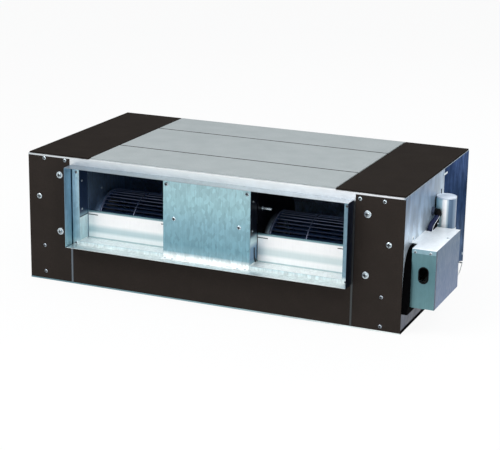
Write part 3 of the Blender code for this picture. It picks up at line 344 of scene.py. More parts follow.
# a node's finish goes by how its name ends, and what is not named here is plain galvanised sheet
finishOf = {
    "base_pan": zincBase, "top_cover": zincFlange, "right_front_panel": zincSideFront,
    "right_rear_panel": zincSideRear, "left_front_panel": zincShadedInside, "left_rear_panel": zincShadedInside,
    "fan_deck": zincDeck, "discharge_collar": zincCollar, "centre_cover": zincCover,
    "outlet_neck": zincNeck, "scroll_wrap": zincScroll, "scroll_side": zincScrollSide,
    "cutoff_plate": zincCutoff, "seam_post": zincPost, "fan_wheel": wheelZinc, "motor_shaft": shaftSteel,
    "motor_body": motorEnamel, "box_body": zincBoxBody, "box_lid": zincBoxLid, "box_bracket": zincBoxLid,
    "capacitor": canAluminium, "terminal_block": plasticWhite, "drain_spigot": plasticWhite,
    "coil_fin_block": finAluminium, "gas_header": copperTube, "liquid_pipe": copperTube,
    "cable_grommet": rubberBlack, "lead_grommet": rubberDusty, "motor_lead": sleeveNavy,
    "foam": foamBlack, "top_pad_front": foamGrey, "top_pad_middle": foamGrey, "top_pad_rear": foamGrey,
    "_screw": steelBright,
}
for name, node in nodes.items():
    finish = next((made for ending, made in finishOf.items() if name.endswith(ending)), zincPlain)
    node.data.materials.clear()
    node.data.materials.append(finish)


weldWithin = 2e-6  # metres: corners as close as this become one


def addPiece(name, points, faces, material, slot, body=bodyName, rough=30, stands=()):
    # points (n, 3) and faces (m, 4): merged, closed up, normals outward, smooth below rough degrees
    mesh = bpy.data.meshes.new(name)
    mesh.from_pydata(np.asarray(points).tolist(), [], np.asarray(faces).tolist())
    shape = bmesh.new()
    shape.from_mesh(mesh)
    bmesh.ops.remove_doubles(shape, verts=shape.verts, dist=weldWithin)
    bmesh.ops.recalc_face_normals(shape, faces=shape.faces)
    shape.to_mesh(mesh)
    shape.free()
    mesh.shade_smooth()
    mesh.set_sharp_from_angle(angle=math.radians(rough))
    mesh.materials.append(material)
    piece = bpy.data.objects.new(name, mesh)
    bpy.context.scene.collection.objects.link(piece)
    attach(piece, body)
    if stands:
        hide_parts(*stands)


def gridFaces(rows, columns, closed=True, closedRows=False):
    # quads of a rows x columns grid; closed joins the last column to the first
    i, j = np.meshgrid(np.arange(rows if closedRows else rows - 1),
                       np.arange(columns if closed else columns - 1), indexing="ij")
    k, n = (j + 1) % columns, (i + 1) % rows
    return np.stack([i * columns + j, i * columns + k, n * columns + k, n * columns + j],
                    axis=-1).reshape(-1, 4)


def joined(*shapes):
    # several (points, faces) shapes as one
    count = np.cumsum([0] + [len(points) for points, _ in shapes])
    return (np.concatenate([points for points, _ in shapes]),
            np.concatenate([faces + shift for (_, faces), shift in zip(shapes, count)]))


facingFrames = {  # along the facing direction last: side, other side, outwards
    "-y": ((1, 0, 0), (0, 0, 1), (0, -1, 0)),
    "+y": ((-1, 0, 0), (0, 0, 1), (0, 1, 0)),
    "+x": ((0, 1, 0), (0, 0, 1), (1, 0, 0)),
    "-x": ((0, -1, 0), (0, 0, 1), (-1, 0, 0)),
    "+z": ((1, 0, 0), (0, 1, 0), (0, 0, 1)),
    "-z": ((1, 0, 0), (0, -1, 0), (0, 0, -1)),
}


def revolve(profile, steps, whole=False):
    # each (radius, height) pair turned about the height axis: (r cos a, r sin a, h)
    profile = np.asarray(profile, float)
    angle = np.arange(steps) * math.tau / steps
    ring = np.stack([np.cos(angle), np.sin(angle)], axis=-1)
    flat = profile[:, None, :1] * ring[None]
    height = np.broadcast_to(profile[:, None, 1:], flat.shape[:2] + (1,))
    return (np.concatenate([flat, height], axis=-1).reshape(-1, 3),
            gridFaces(len(profile), steps, closedRows=whole))


def repeated(points, faces, places, facing):
    # the same small shape at every place, its height axis turned to the facing direction
    moved = points @ np.array(facingFrames[facing], float)
    every = (moved[None] + np.asarray(places, float)[:, None]).reshape(-1, 3)
    shift = np.arange(len(places))[:, None, None] * len(points)
    return every, (faces[None] + shift).reshape(-1, faces.shape[1])


def turnedAt(at, facing, profile, steps, whole=False):
    # one profile revolved and set at one place
    return repeated(*revolve(profile, steps, whole), [at], facing)


def prism(outline, start, stop):
    # a flat (y, z) outline carried along x, closed at both ends from its middle point
    outline = np.asarray(outline, float)
    middle = np.broadcast_to(outline.mean(axis=0), outline.shape)
    rows = [np.concatenate([np.full((len(outline), 1), x), flat], axis=-1)
            for x, flat in ((start, middle), (start, outline), (stop, outline), (stop, middle))]
    return np.concatenate(rows), gridFaces(4, len(outline))


# shares of a screw head's radius (arm, reach and the floor's) and of its height (rim, below, sink, deep)
headShape = dict(rim=0.25, domePower=2.6, arm=0.20, reach=0.66, below=0.3, sink=0.80,
                 floorArm=0.19, floorReach=0.60, deep=(0.10, 0.66))


def panHead(radius, height, recess=True):
    # dome height h (1 - (r / R)^2.6) over a short rim, less a cross-shaped recess round the middle
    reach, rim = np.linspace(0, 1, 9), headShape["rim"]
    dome = height * (rim + (1 - rim) * (1 - reach ** headShape["domePower"]))
    profile = np.concatenate([np.stack([radius * reach, dome], axis=-1), [(radius, 0.0), (0.0, 0.0)]])
    points, faces = revolve(profile, 24)
    if recess:
        near = np.minimum(np.abs(points[:, 0]), np.abs(points[:, 1]))
        far = np.hypot(points[:, 0], points[:, 1])
        inside = ((near < headShape["arm"] * radius) & (far < headShape["reach"] * radius)
                  & (points[:, 2] > headShape["below"] * height))
        points[:, 2] -= inside * headShape["sink"] * height
    return points, faces


def recessShadePlug(radius, height):
    # painted shade at the bottom of a cross recess: a dark plus with twelve corners, carried along z
    arm, reach = headShape["floorArm"] * radius, headShape["floorReach"] * radius
    quarter = np.array([(arm, arm), (arm, reach), (-arm, reach)])
    turns = [np.array([(math.cos(t), -math.sin(t)), (math.sin(t), math.cos(t))])
             for t in np.arange(4) * math.pi / 2]
    points, faces = prism(np.concatenate([quarter @ turn.T for turn in turns]),
                          *(share * height for share in headShape["deep"]))
    return points[:, [1, 2, 0]], faces


def fixings(name, places, facing, radius, height, material, recess):
    # pan heads at their places; the painted shade in each recess is a dark piece of its own
    if recess:
        addPiece(name + "Recess", *repeated(*recessShadePlug(radius, height), places, facing), slotShadow,
                 slot="wheel_steel")
    addPiece(name, *repeated(*panHead(radius, height, recess), places, facing), material, rough=40,
             slot="bright_steel")


skewLine = (0.31, 0.17, 0.93)  # no path here runs along it


def sweepTube(path, radius, sides):
    # round tube: centre + radius (n cos a + b sin a), n and b square to the path's tangent;
    # radius is one number or one for each point of the path, and both ends are closed
    path = np.asarray(path, float)
    radius = np.broadcast_to(np.asarray(radius, float), (len(path),))
    tangent = np.gradient(path, axis=0)
    tangent /= np.linalg.norm(tangent, axis=1)[:, None]
    normal = np.cross(tangent, np.array(skewLine))
    normal /= np.linalg.norm(normal, axis=1)[:, None]
    binormal = np.cross(tangent, normal)
    angle = np.arange(sides) * math.tau / sides
    ring = normal[:, None] * np.cos(angle)[None, :, None] + binormal[:, None] * np.sin(angle)[None, :, None]
    points = path[:, None] + radius[:, None, None] * ring
    points = np.concatenate([path[:1, None].repeat(sides, 1), points, path[-1:, None].repeat(sides, 1)])
    return points.reshape(-1, 3), gridFaces(len(points), sides)


def smoothPath(points, perSpan):
    # Catmull-Rom curve: a cubic for each span, whose slope at a point is half the step between the
    # points before and after it
    p = np.asarray(points, float)
    p = np.concatenate([2 * p[:1] - p[1:2], p, 2 * p[-1:] - p[-2:-1]])
    t = (np.arange(perSpan) / perSpan)[None, :, None]
    a, b, c, d = (p[i:len(p) - 3 + i][:, None] for i in range(4))
    curve = (2 * b + (c - a) * t + (2 * a - 5 * b + 4 * c - d) * t ** 2
             + (3 * b - a - 3 * c + d) * t ** 3) / 2
    return np.concatenate([curve.reshape(-1, 3), p[-2:-1]])


def arcPoints(radius, start, stop, steps):
    # (r cos a, r sin a) from start to stop degrees
    angle = np.radians(np.linspace(start, stop, steps))
    return radius * np.stack([np.cos(angle), np.sin(angle)], axis=-1)


def ball(radius, rows, sides):
    # (r sin t, -r cos t) turned about the height axis
    t = np.linspace(0, math.pi, rows)
    return revolve(radius * np.stack([np.sin(t), -np.cos(t)], axis=-1), sides)


def sheetLoop(line, thickness):
    # closed outline of a thin sheet: the line moved half a thickness to each side along its normals
    line = np.asarray(line, float)
    tangent = np.gradient(line, axis=0)
    tangent /= np.linalg.norm(tangent, axis=1)[:, None]
    normal = np.stack([-tangent[:, 1], tangent[:, 0]], axis=-1) * thickness / 2
    return np.concatenate([line + normal, (line - normal)[::-1]])


def bentSheet(line, thickness, start, stop):
    # a sheet whose (y, z) line is carried along x from start to stop, its ends closed by strips
    loop = sheetLoop(line, thickness)
    count, half = len(loop), len(loop) // 2
    rows = [np.concatenate([np.full((count, 1), x), loop], axis=-1) for x in (start, stop)]
    a = np.arange(half - 1)
    strip = np.stack([a, a + 1, count - 2 - a, count - 1 - a], axis=-1)
    return np.concatenate(rows), np.concatenate([gridFaces(2, count), strip, strip + count])


def plateBlock(low, high, facing, corner):
    # flat plate between two points; corner rounds its outline as seen from the facing side
    turn = np.array(facingFrames[facing], float)
    ends = np.sort(np.array([low, high], float) @ turn.T, axis=0)
    size = (ends[1, :2] - ends[0, :2]) / 2
    angle = np.radians(np.arange(0, 360, 15) + 7.5)
    unit = np.stack([np.cos(angle), np.sin(angle)], axis=-1)
    middle = np.broadcast_to((ends[1, :2] + ends[0, :2]) / 2, unit.shape)
    rim = middle + np.sign(unit) * (size - corner) + corner * unit
    rows = [np.concatenate([flat, np.full((len(rim), 1), ends[end, 2])], axis=-1)
            for flat, end in ((middle, 0), (rim, 0), (rim, 1), (middle, 1))]
    return np.concatenate(rows) @ turn, gridFaces(4, len(rim))


# grid, edge and uneven in metres, rise, border and settle in edges, waves in radians per metre
foamShape = dict(edge=0.0016, uneven=0.0005, grid=0.012, rise=(0, 0.12, 0.35, 0.65, 1, 1.6, 2.6),
                 fineWave=(61, 47), slowWave=(23, 31), border=4, settle=3)


def foamSheet(name, low, high, facing, material, slot, node=None, **changes):
    # glued foam sheet in the place of its CAD solid: thickness less a quarter-round drop at its edges
    # and less a slow wave, cut square at the glued side
    look = {**foamShape, **changes}
    edge = look["edge"]
    turn = np.array(facingFrames[facing], float)
    ends = np.sort(np.array([low, high], float) @ turn.T, axis=0)
    steps = []
    for a in (0, 1):
        inner = np.linspace(ends[0, a] + look["border"] * edge, ends[1, a] - look["border"] * edge,
                            int((ends[1, a] - ends[0, a]) / look["grid"]) + 2)
        rise = edge * np.array(look["rise"])
        steps.append(np.concatenate([[ends[0, a]], ends[0, a] + rise, inner, ends[1, a] - rise[::-1],
                                     [ends[1, a]]]))
    u, v = np.meshgrid(*steps, indexing="ij")
    inset = np.minimum(np.minimum(u - ends[0, 0], ends[1, 0] - u), np.minimum(v - ends[0, 1], ends[1, 1] - v))
    drop = edge * (1 - np.sqrt(1 - (1 - np.clip(inset / edge, 0, 1)) ** 2))
    phase = float(len(name))
    (fineU, fineV), (slowU, slowV) = look["fineWave"], look["slowWave"]
    wave = (np.sin(u * fineU + phase) * np.sin(v * fineV + 2 * phase)
            + np.sin(u * slowU + v * slowV + phase)) / 2
    top = ends[1, 2] - drop - look["uneven"] * (1 + wave) / 2 * np.clip(
        inset / (look["settle"] * edge), 0, 1)
    for border in (0, -1):
        top[border, :] = ends[0, 2]
        top[:, border] = ends[0, 2]
    upper = np.stack([u, v, top], axis=-1)
    lower = np.stack([u, v, np.full_like(top, ends[0, 2])], axis=-1)
    rows, columns = u.shape
    faces = gridFaces(rows, columns, closed=False)
    points = np.concatenate([upper.reshape(-1, 3), lower.reshape(-1, 3)])
    addPiece(name, points @ turn, np.concatenate([faces, faces[:, ::-1] + rows * columns]), material,
             rough=50, slot=slot, stands=(node,) if node else ())


# the insulation: thin glued foam sheets with cut edges
foamSheets = {
    "rightTopSheet": ("right_top_foam", "+z"), "leftTopSheet": ("left_top_foam", "+z"),
    "frontTopSheet": ("top_pad_front", "+z"), "middleTopSheet": ("top_pad_middle", "+z"),
    "rearTopSheet": ("top_pad_rear", "+z"),
    "rightCornerSheet": ("right_corner_foam", "-y"), "leftCornerSheet": ("left_corner_foam", "-y"),
    "lowerFrontSheet": ("lower_foam", "-y"),
}
overhang = {"rightTopSheet": (0.0022, -0.0030), "leftTopSheet": (-0.0022, -0.0050)}  # metres in x and y
for name, (node, facing) in foamSheets.items():
    grey = node.startswith("top_pad")
    low, high = (np.array(corner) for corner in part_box(node))
    reachX, reachY = overhang.get(name, (0, 0))
    low += (min(reachX, 0), reachY, 0)
    high += (max(reachX, 0), 0, 0)
    foamSheet(name, low, high, facing, foamGrey if grey else (foamTopPaintedDarker if facing == "+z" else foamBlack),
              "grey_foam" if grey else "black_foam", node=node)
print("insulation laid:", len(foamSheets), "sheets")


# the scroll housings: a smooth wrap, side plates with inlet bells, and the cut-off plate
axleLow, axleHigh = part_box("motor_shaft")
axis = dict(y=(axleLow.y + axleHigh.y) / 2, z=(axleLow.z + axleHigh.z) / 2)
# start, stop, footHalf, rayStep and kink are degrees, faceIn is in sheets, the rest is metres
scroll = dict(sheet=0.0012, start=180, stop=450, firstRadius=0.126, growth=0.103, rim=0.0042, footHalf=22,
              footZ=0.0015, rayStep=3.0, kink=0.02, faceIn=1.25, mouth=0.118, bell=0.020,
              outletY=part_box("right_scroll_wrap")[0].y, lipRoll=0.003)


def spiralRadius(degrees):
    # grows evenly from firstRadius at start degrees, by growth in all at stop degrees
    turned = (degrees - scroll["start"]) / (scroll["stop"] - scroll["start"])
    return scroll["firstRadius"] + scroll["growth"] * turned


def wrapLine():
    # the spiral in (y, z), with a short lip down to the cut-off and a straight run to the outlet
    degrees = np.linspace(scroll["start"], scroll["stop"], 136)
    radius = spiralRadius(degrees) + scroll["sheet"] / 2
    turn = np.radians(degrees)
    spiral = np.stack([axis["y"] + radius * np.cos(turn), axis["z"] + radius * np.sin(turn)], axis=-1)
    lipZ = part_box("right_cutoff_plate")[1].z - scroll["lipRoll"] - scroll["sheet"]
    return np.concatenate([[(spiral[0, 0], lipZ)], spiral, [(scroll["outletY"], spiral[-1, 1])]])


def cutoffLine():
    # up the plate in (y, z), over a half-round roll and down again
    low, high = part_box("right_cutoff_plate")
    roll, half = scroll["lipRoll"], scroll["sheet"] / 2
    plateY, rollZ = low.y + half, high.z - half - roll
    bend = arcPoints(roll, 180, 0, 15) + (plateY + roll, rollZ)
    return np.concatenate([[(plateY, low.z)], bend, [(plateY + 2 * roll, rollZ - roll)]])


def sidePlate(faceX, outwards):
    # polar grid about the axle: each ray runs from the outline to the mouth, then round a quarter
    # circle of radius bell towards the wheel, and back on the other side of the sheet
    topRise = spiralRadius(scroll["stop"]) + scroll["rim"]
    front, foot, kink = scroll["outletY"] - axis["y"], scroll["footHalf"], scroll["kink"]
    corners = [math.degrees(math.atan2(topRise, front)), 270 - foot, 270 - foot - kink, 270 + foot,
               270 + foot + kink]
    degrees = np.unique(np.concatenate([np.arange(0, 360, scroll["rayStep"]), corners]))
    turn = np.radians(degrees)
    wound = np.where(degrees < 180, degrees + 360, degrees)
    reach = spiralRadius(np.minimum(wound, scroll["stop"])) + scroll["rim"]
    toTop = topRise / np.maximum(np.sin(turn), 1e-6)
    toFront = front / np.minimum(np.cos(turn), -1e-6)
    outer = np.where((degrees > 90) & (degrees < 180), np.minimum(toTop, toFront),
                     np.where((degrees >= 180) & (degrees < 270), np.minimum(reach, toFront), reach))
    isFoot = np.abs(degrees - 270) <= foot
    outer = np.where(isFoot, (axis["z"] - scroll["footZ"]) / np.maximum(-np.sin(turn), 0.1), outer)
    mouth, bell, half = scroll["mouth"], scroll["bell"], scroll["sheet"] / 2
    bend = np.radians(np.linspace(0, 90, 11))
    arcR, arcX = mouth - bell * np.sin(bend), -outwards * (bell - bell * np.cos(bend))
    arcNormal = np.stack([-np.sin(bend), outwards * np.cos(bend)], axis=-1)
    front = [np.stack([outer, np.full_like(outer, faceX + outwards * 2 * half)], axis=-1)]
    back = [np.stack([outer, np.full_like(outer, faceX)], axis=-1)]
    for r, x, (nr, nx) in zip(arcR, arcX, arcNormal):
        for side, rows in ((1, front), (-1, back)):
            ray = np.broadcast_to((r + side * nr * half, faceX + outwards * half + x + side * nx * half),
                                  (len(degrees), 2))
            rows.append(ray)
    loop = np.stack(front + back[::-1], axis=1)
    points = np.stack([loop[..., 1], axis["y"] + loop[..., 0] * np.cos(turn)[:, None],
                       axis["z"] + loop[..., 0] * np.sin(turn)[:, None]], axis=-1)
    return points.reshape(-1, 3), gridFaces(len(degrees), loop.shape[1], closedRows=True)


for side, word in ((1, "right"), (-1, "left")):
    low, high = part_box(word + "_scroll_wrap")
    addPiece(word + "ScrollWrap", *bentSheet(wrapLine(), scroll["sheet"], low.x, high.x), zincScroll,
             slot="galvanised", stands=(word + "_scroll_wrap",))
    addPiece(word + "CutoffPlate", *bentSheet(cutoffLine(), scroll["sheet"], low.x, high.x), zincCutoff,
             slot="galvanised", stands=(word + "_cutoff_plate",))
    for place, outwards in (("outer", side), ("inner", -side)):
        low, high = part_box(f"{word}_{place}_scroll_side")
        inwards = scroll["sheet"] * scroll["faceIn"]
        faceX = high.x - inwards if outwards > 0 else low.x + inwards
        addPiece(f"{word}{place.capitalize()}ScrollSide", *sidePlate(faceX, outwards), zincScrollSide,
                 slot="galvanised", stands=(f"{word}_{place}_scroll_side",))
print("scroll housings made")


# the blower wheels: swept blades between two rolled rings, on a centre disc and hub
# sweep and firstBlade are degrees, dish gives the radii where the disc's web bends
wheel = dict(blades=46, inner=0.099, outer=0.119, sweep=9, blade=0.001, firstBlade=5, ringInner=0.0982,
             ringOuter=0.1198, ringWidth=0.007, hub=0.021, hubLength=0.042, hubEdge=0.001, bore=0.0082,
             disc=0.003, dish=(0.045, 0.050, 0.080, 0.085), dishDeep=0.003)


def bladeSet(halfLength):
    # blade middle line: radius from inner to outer as t runs from 0 to 1, turned by sweep t squared;
    # each side lies half a thickness off it, carried along the axle
    t = np.linspace(0, 1, 8)
    radius = wheel["inner"] + (wheel["outer"] - wheel["inner"]) * t
    turn = np.radians(wheel["sweep"] * t ** 2)
    line = np.stack([radius * np.cos(turn), radius * np.sin(turn)], axis=-1)
    points, faces = bentSheet(line, wheel["blade"], -halfLength, halfLength)
    starts = np.radians(np.arange(wheel["blades"]) * 360 / wheel["blades"] + wheel["firstBlade"])
    c, s = np.cos(starts)[:, None], np.sin(starts)[:, None]
    y = points[None, :, 1] * c - points[None, :, 2] * s
    z = points[None, :, 1] * s + points[None, :, 2] * c
    x = np.broadcast_to(points[None, :, 0], y.shape)
    shift = np.arange(wheel["blades"])[:, None, None] * len(points)
    return np.stack([x, y, z], axis=-1).reshape(-1, 3), (faces[None] + shift).reshape(-1, 4)


def ringLoop(inner, outer, middle, width, corner=0.0012):
    # rectangle with rounded corners in (radius, height), as a closed loop
    centre = np.array([(inner + outer) / 2, middle])
    half = np.array([(outer - inner) / 2, width / 2]) - corner
    angle = np.radians(np.arange(0, 360, 22.5) + 11.25)
    unit = np.stack([np.cos(angle), np.sin(angle)], axis=-1)
    return centre + np.sign(unit) * half + corner * unit


def fanWheel(word):
    # blades, two rings and a disc whose dished middle web joins the hub to the blades
    low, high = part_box(word + "_fan_wheel")
    centre = np.array(((low.x + high.x) / 2, axis["y"], axis["z"]))
    halfLength = (high.x - low.x) / 2
    ringAt = halfLength - wheel["ringWidth"] / 2
    blades, bladeFaces = bladeSet(ringAt)
    rings = [turnedAt(centre, "+x", ringLoop(wheel["ringInner"], wheel["ringOuter"], side * ringAt,
                                             wheel["ringWidth"]), 96, whole=True) for side in (-1, 1)]
    hub, outer, hubEnd, face = wheel["hub"], wheel["ringOuter"], wheel["hubLength"] / 2, wheel["disc"] / 2
    edge, (a, b, c, d), deep = wheel["hubEdge"], wheel["dish"], wheel["dishDeep"]
    disc = turnedAt(centre, "+x", [
        (wheel["bore"], -hubEnd), (hub - edge, -hubEnd), (hub, edge - hubEnd), (hub, -face), (a, -face),
        (b, -face - deep), (c, -face - deep), (d, -face), (outer, -face), (outer, face), (d, face),
        (c, face - deep), (b, face - deep), (a, face), (hub, face), (hub, hubEnd - edge),
        (hub - edge, hubEnd), (wheel["bore"], hubEnd)], 96, whole=True)
    addPiece(word + "BlowerWheel", *joined((blades + centre, bladeFaces), *rings, disc), wheelZinc,
             body="rotor", rough=40, slot="wheel_steel", stands=(word + "_fan_wheel",))


for word in ("right", "left"):
    fanWheel(word)
print("blower wheels made")


# the coil: pressed fins on copper tubes, with the gas and liquid pipes at its left end
# half its length, its height and depth, its lean in degrees, and the fins' and the tubes' spacing
coil = dict(half=0.56, tall=0.36, deep=0.055, tilt=30, pitch=0.0025, fin=0.0004, tube=0.0048,
            rowPitch=0.025, tubePitch=0.0215, count=16)
finLow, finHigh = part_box("coil_fin_block")
coilMiddle = ((finLow.y + finHigh.y) / 2, (finLow.z + finHigh.z) / 2)


def coilPoint(along, across):
    # (y, z) of a point of the tilted coil: along its height, and across it towards the rear
    turn = math.radians(coil["tilt"])
    return (coilMiddle[0] + along * math.sin(turn) + across * math.cos(turn),
            coilMiddle[1] + along * math.cos(turn) - across * math.sin(turn))


def finStack():
    # the same thin tilted plate at every pitch along x
    tall, deep, half = coil["tall"] / 2, coil["deep"] / 2, coil["fin"] / 2
    corners = np.array([coilPoint(a, b) for a, b in ((tall, -deep), (tall, deep),
                                                     (-tall, deep), (-tall, -deep))])
    places = np.arange(-coil["half"] + half, coil["half"], coil["pitch"])
    one = np.concatenate([np.concatenate([np.full((4, 1), x), corners], axis=-1) for x in (-half, half)])
    faces = np.array([(0, 1, 2, 3), (4, 5, 6, 7), (0, 1, 5, 4), (1, 2, 6, 5), (2, 3, 7, 6), (3, 0, 4, 7)])
    every = one[None] + np.stack([places, 0 * places, 0 * places], axis=-1)[:, None]
    shift = np.arange(len(places))[:, None, None] * len(one)
    return every.reshape(-1, 3), (faces[None] + shift).reshape(-1, 4)


def straightTubes():
    # closed cylinders along x: two rows of them, one on each side of the coil's middle
    spots = [coilPoint((k - (coil["count"] - 1) / 2) * coil["tubePitch"], side * coil["rowPitch"] / 2)
             for k in range(coil["count"]) for side in (-1, 1)]
    one, faces = revolve([(0, -coil["half"]), (coil["tube"], -coil["half"]), (coil["tube"], coil["half"]),
                          (0, coil["half"])], 12)
    return repeated(one, faces, [(0, y, z) for y, z in spots], "+x")


addPiece("coilFins", *finStack(), finAluminium, slot="fin_aluminium", stands=("coil_fin_block",))
addPiece("coilTubes", *straightTubes(), copperTube, slot="copper")

# straight up the coil's end, a quarter bend of four radii, then straight out to the left
pipes = {
    "gasPipe": dict(node="gas_header", radius=0.0095, foot=(0.1362, 0.1027), leave=(0.25374, 0.30617)),
    "liquidPipe": dict(node="liquid_pipe", radius=0.0048, foot=(0.1120, 0.1167), leave=(0.17199, 0.22058)),
}
pipeTrim = dict(bendRadii=4, chamfer=0.0008, ringGap=0.0004, ringWall=0.0046, ringAt=0.0012, ringWide=0.0036)
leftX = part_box("left_rear_panel")[0].x
for name, pipe in pipes.items():
    low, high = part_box(pipe["node"])
    radius, headerX, chamfer = pipe["radius"], high.x - pipe["radius"], pipeTrim["chamfer"]
    foot, leave = np.array(pipe["foot"]), np.array(pipe["leave"])
    line = (leave - foot) / np.linalg.norm(leave - foot)
    bend = pipeTrim["bendRadii"] * radius
    bendFoot = leave - bend * line
    rise = foot + np.linspace(0, 1, 7)[:6, None] * (bendFoot - foot)
    quarter = np.radians(np.linspace(0, 90, 12))[:, None]
    path = np.concatenate([
        np.concatenate([np.full((6, 1), headerX), rise], axis=-1),
        np.concatenate([headerX - bend + bend * np.cos(quarter),
                        bendFoot + bend * np.sin(quarter) * line], axis=-1),
        np.concatenate([np.linspace(headerX - bend, low.x + chamfer, 8)[1:, None],
                        np.tile(leave, (7, 1))], axis=-1),
        [(low.x, *leave)]])
    sizes = np.concatenate([np.full(len(path) - 1, radius), [radius - chamfer]])
    addPiece(name, *sweepTube(path, sizes, 24), copperTube, slot="copper", stands=(pipe["node"],), rough=50)
    inner = radius + pipeTrim["ringGap"]
    ring = ringLoop(inner, inner + pipeTrim["ringWall"], pipeTrim["ringAt"], pipeTrim["ringWide"])
    addPiece(name + "Ring", *turnedAt((leftX, *leave), "-x", ring, 32, whole=True), rubberBlack,
             slot="black_rubber")

spigot = dict(radius=0.0125, wall=0.002, barbs=4, barb=0.006, rise=0.0012, flat=0.0004)
spigotLow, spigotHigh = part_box("drain_spigot")
spigotAt = (spigotHigh.x, (spigotLow.y + spigotHigh.y) / 2, (spigotLow.z + spigotHigh.z) / 2)
spigotLength = spigotHigh.x - spigotLow.x
barbEnds = spigotLength - np.arange(spigot["barbs"]) * spigot["barb"]
barbLine = np.concatenate([[(spigot["radius"] - spigot["rise"], end),
                            (spigot["radius"], end - spigot["barb"] + spigot["flat"])] for end in barbEnds])
bore = spigot["radius"] - spigot["wall"] - spigot["rise"]
spigotLoop = np.concatenate([[(bore, spigotLength)], barbLine, [(spigot["radius"], 0), (bore, 0)]])
addPiece("drainSpigot", *turnedAt(spigotAt, "-x", spigotLoop, 32, whole=True), plasticWhite,
         slot="white_plastic", stands=("drain_spigot",))
print("coil, pipes and drain made")


# the run capacitor: drawn can with a rolled rim, in a strap with two ears
# shoulder and lidDown are measured down from the can's top, rings and baseUp up from its foot, and
# base and lid in from its wall
can = dict(groove=0.0006, foot=0.003, base=(0.004, 0.0035), baseUp=0.001, rings=(0.02, 0.06), rim=0.0012,
           shoulder=(0.0085, 0.0072, 0.0060, 0.0048), lid=(0.0026, 0.0060), lidDown=(0.0020, 0.0016, 0.0012))
canLow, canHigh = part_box("capacitor")
canAt = ((canLow.x + canHigh.x) / 2, (canLow.y + canHigh.y) / 2, canLow.z)
r, h = (canHigh.y - canLow.y) / 2, canHigh.z - canLow.z
neck = r - can["groove"]
canProfile = np.concatenate([
    [(0, can["baseUp"]), (r - can["base"][0], can["baseUp"]), (r - can["base"][1], 0)],
    arcPoints(can["foot"], -90, 0, 6) + (r - can["foot"], can["foot"]),
    [(r, level) for level in can["rings"]],
    [(across, h - down) for across, down in zip((r, neck, neck, r), can["shoulder"])],
    arcPoints(can["rim"], 0, 180, 9) + (r - can["rim"], h - can["rim"]),
    [(across, h - down) for across, down in zip((r - can["lid"][0], r - can["lid"][1], 0), can["lidDown"])]])
addPiece("capacitorCan", *turnedAt(canAt, "+z", canProfile, 64), canAluminium, slot="can_aluminium",
         stands=("capacitor",))

# up one ear, round the can from -wrap to wrap degrees, and down the other ear, in (x, y)
strap = dict(wall=0.0012, ear=0.044, spread=0.0370, wrap=112, gap=0.0003, nip=0.0008, bend=0.001,
             screws=0.0408)
clampLow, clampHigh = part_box("capacitor_clamp")
earX = clampLow.x + strap["wall"] / 2
ear = np.array([(earX, strap["ear"]), (earX, strap["spread"] + strap["bend"]),
                (earX + strap["nip"], strap["spread"])])
around = arcPoints(r + strap["gap"] + strap["wall"] / 2, -strap["wrap"], strap["wrap"], 61) + canAt[:2]
strapLine = np.concatenate([ear * (1, -1) + (0, canAt[1]), around, ear[::-1] + (0, canAt[1])])
points, faces = bentSheet(strapLine, strap["wall"], clampLow.z, clampHigh.z)
addPiece("capacitorStrap", points[:, [1, 2, 0]], faces, zincBright, slot="galvanised",
         stands=("capacitor_clamp",))


# rubber: the oval grommet in the box and the round one in the side panel
boxGrommet = dict(wall=0.0035, depth=0.006, rounded=0.42)  # rounded is a share of the wall


def ovalRing(width, tall, wall, depth, rounded):
    # a rounded section carried round two half circles joined by straight sides
    angle = np.radians(np.arange(0, 360, 6) + 3)
    unit = np.stack([np.cos(angle), np.sin(angle)], axis=-1)
    middle = (width / 2 - wall / 2) * unit
    middle[:, 1] += np.sign(unit[:, 1]) * (tall - width) / 2
    loop = ringLoop(-wall / 2, wall / 2, depth / 2, depth, corner=wall * rounded)
    points = np.concatenate([middle[:, None] + loop[None, :, :1] * unit[:, None],
                             np.broadcast_to(loop[None, :, 1:], (len(angle), len(loop), 1))], axis=-1)
    return points.reshape(-1, 3), gridFaces(len(angle), len(loop), closedRows=True)


slotLow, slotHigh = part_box("cable_grommet")
slotMiddle = (slotLow + slotHigh) / 2
oval = ovalRing(slotHigh.x - slotLow.x, slotHigh.z - slotLow.z, **boxGrommet)
addPiece("boxGrommet", *repeated(*oval, [(slotMiddle.x, slotHigh.y, slotMiddle.z)], "-y"), rubberBlack,
         slot="black_rubber", stands=("cable_grommet",))

bushLow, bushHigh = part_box("lead_grommet")
bushMiddle, bushReach = (bushLow + bushHigh) / 2, bushHigh.x - bushLow.x
bushLoop = [(0.0084, 0), (0.0136, 0), (0.0144, 0.0008), (0.0144, 0.0012), (0.0114, 0.0016), (0.0114, 0.0031),
            (0.0144, 0.0034), (0.0144, 0.0040), (0.0136, 0.0048), (0.0122, 0.0058),
            (0.0112, bushReach - 0.0006), (0.0106, bushReach), (0.0088, bushReach),
            (0.0084, bushReach - 0.0006)]  # (radius, place along the bush) round its section
addPiece("panelGrommet", *turnedAt((bushLow.x, bushMiddle.y, bushMiddle.z), "+x", bushLoop, 40, whole=True),
         rubberDusty, slot="black_rubber", stands=("lead_grommet",))


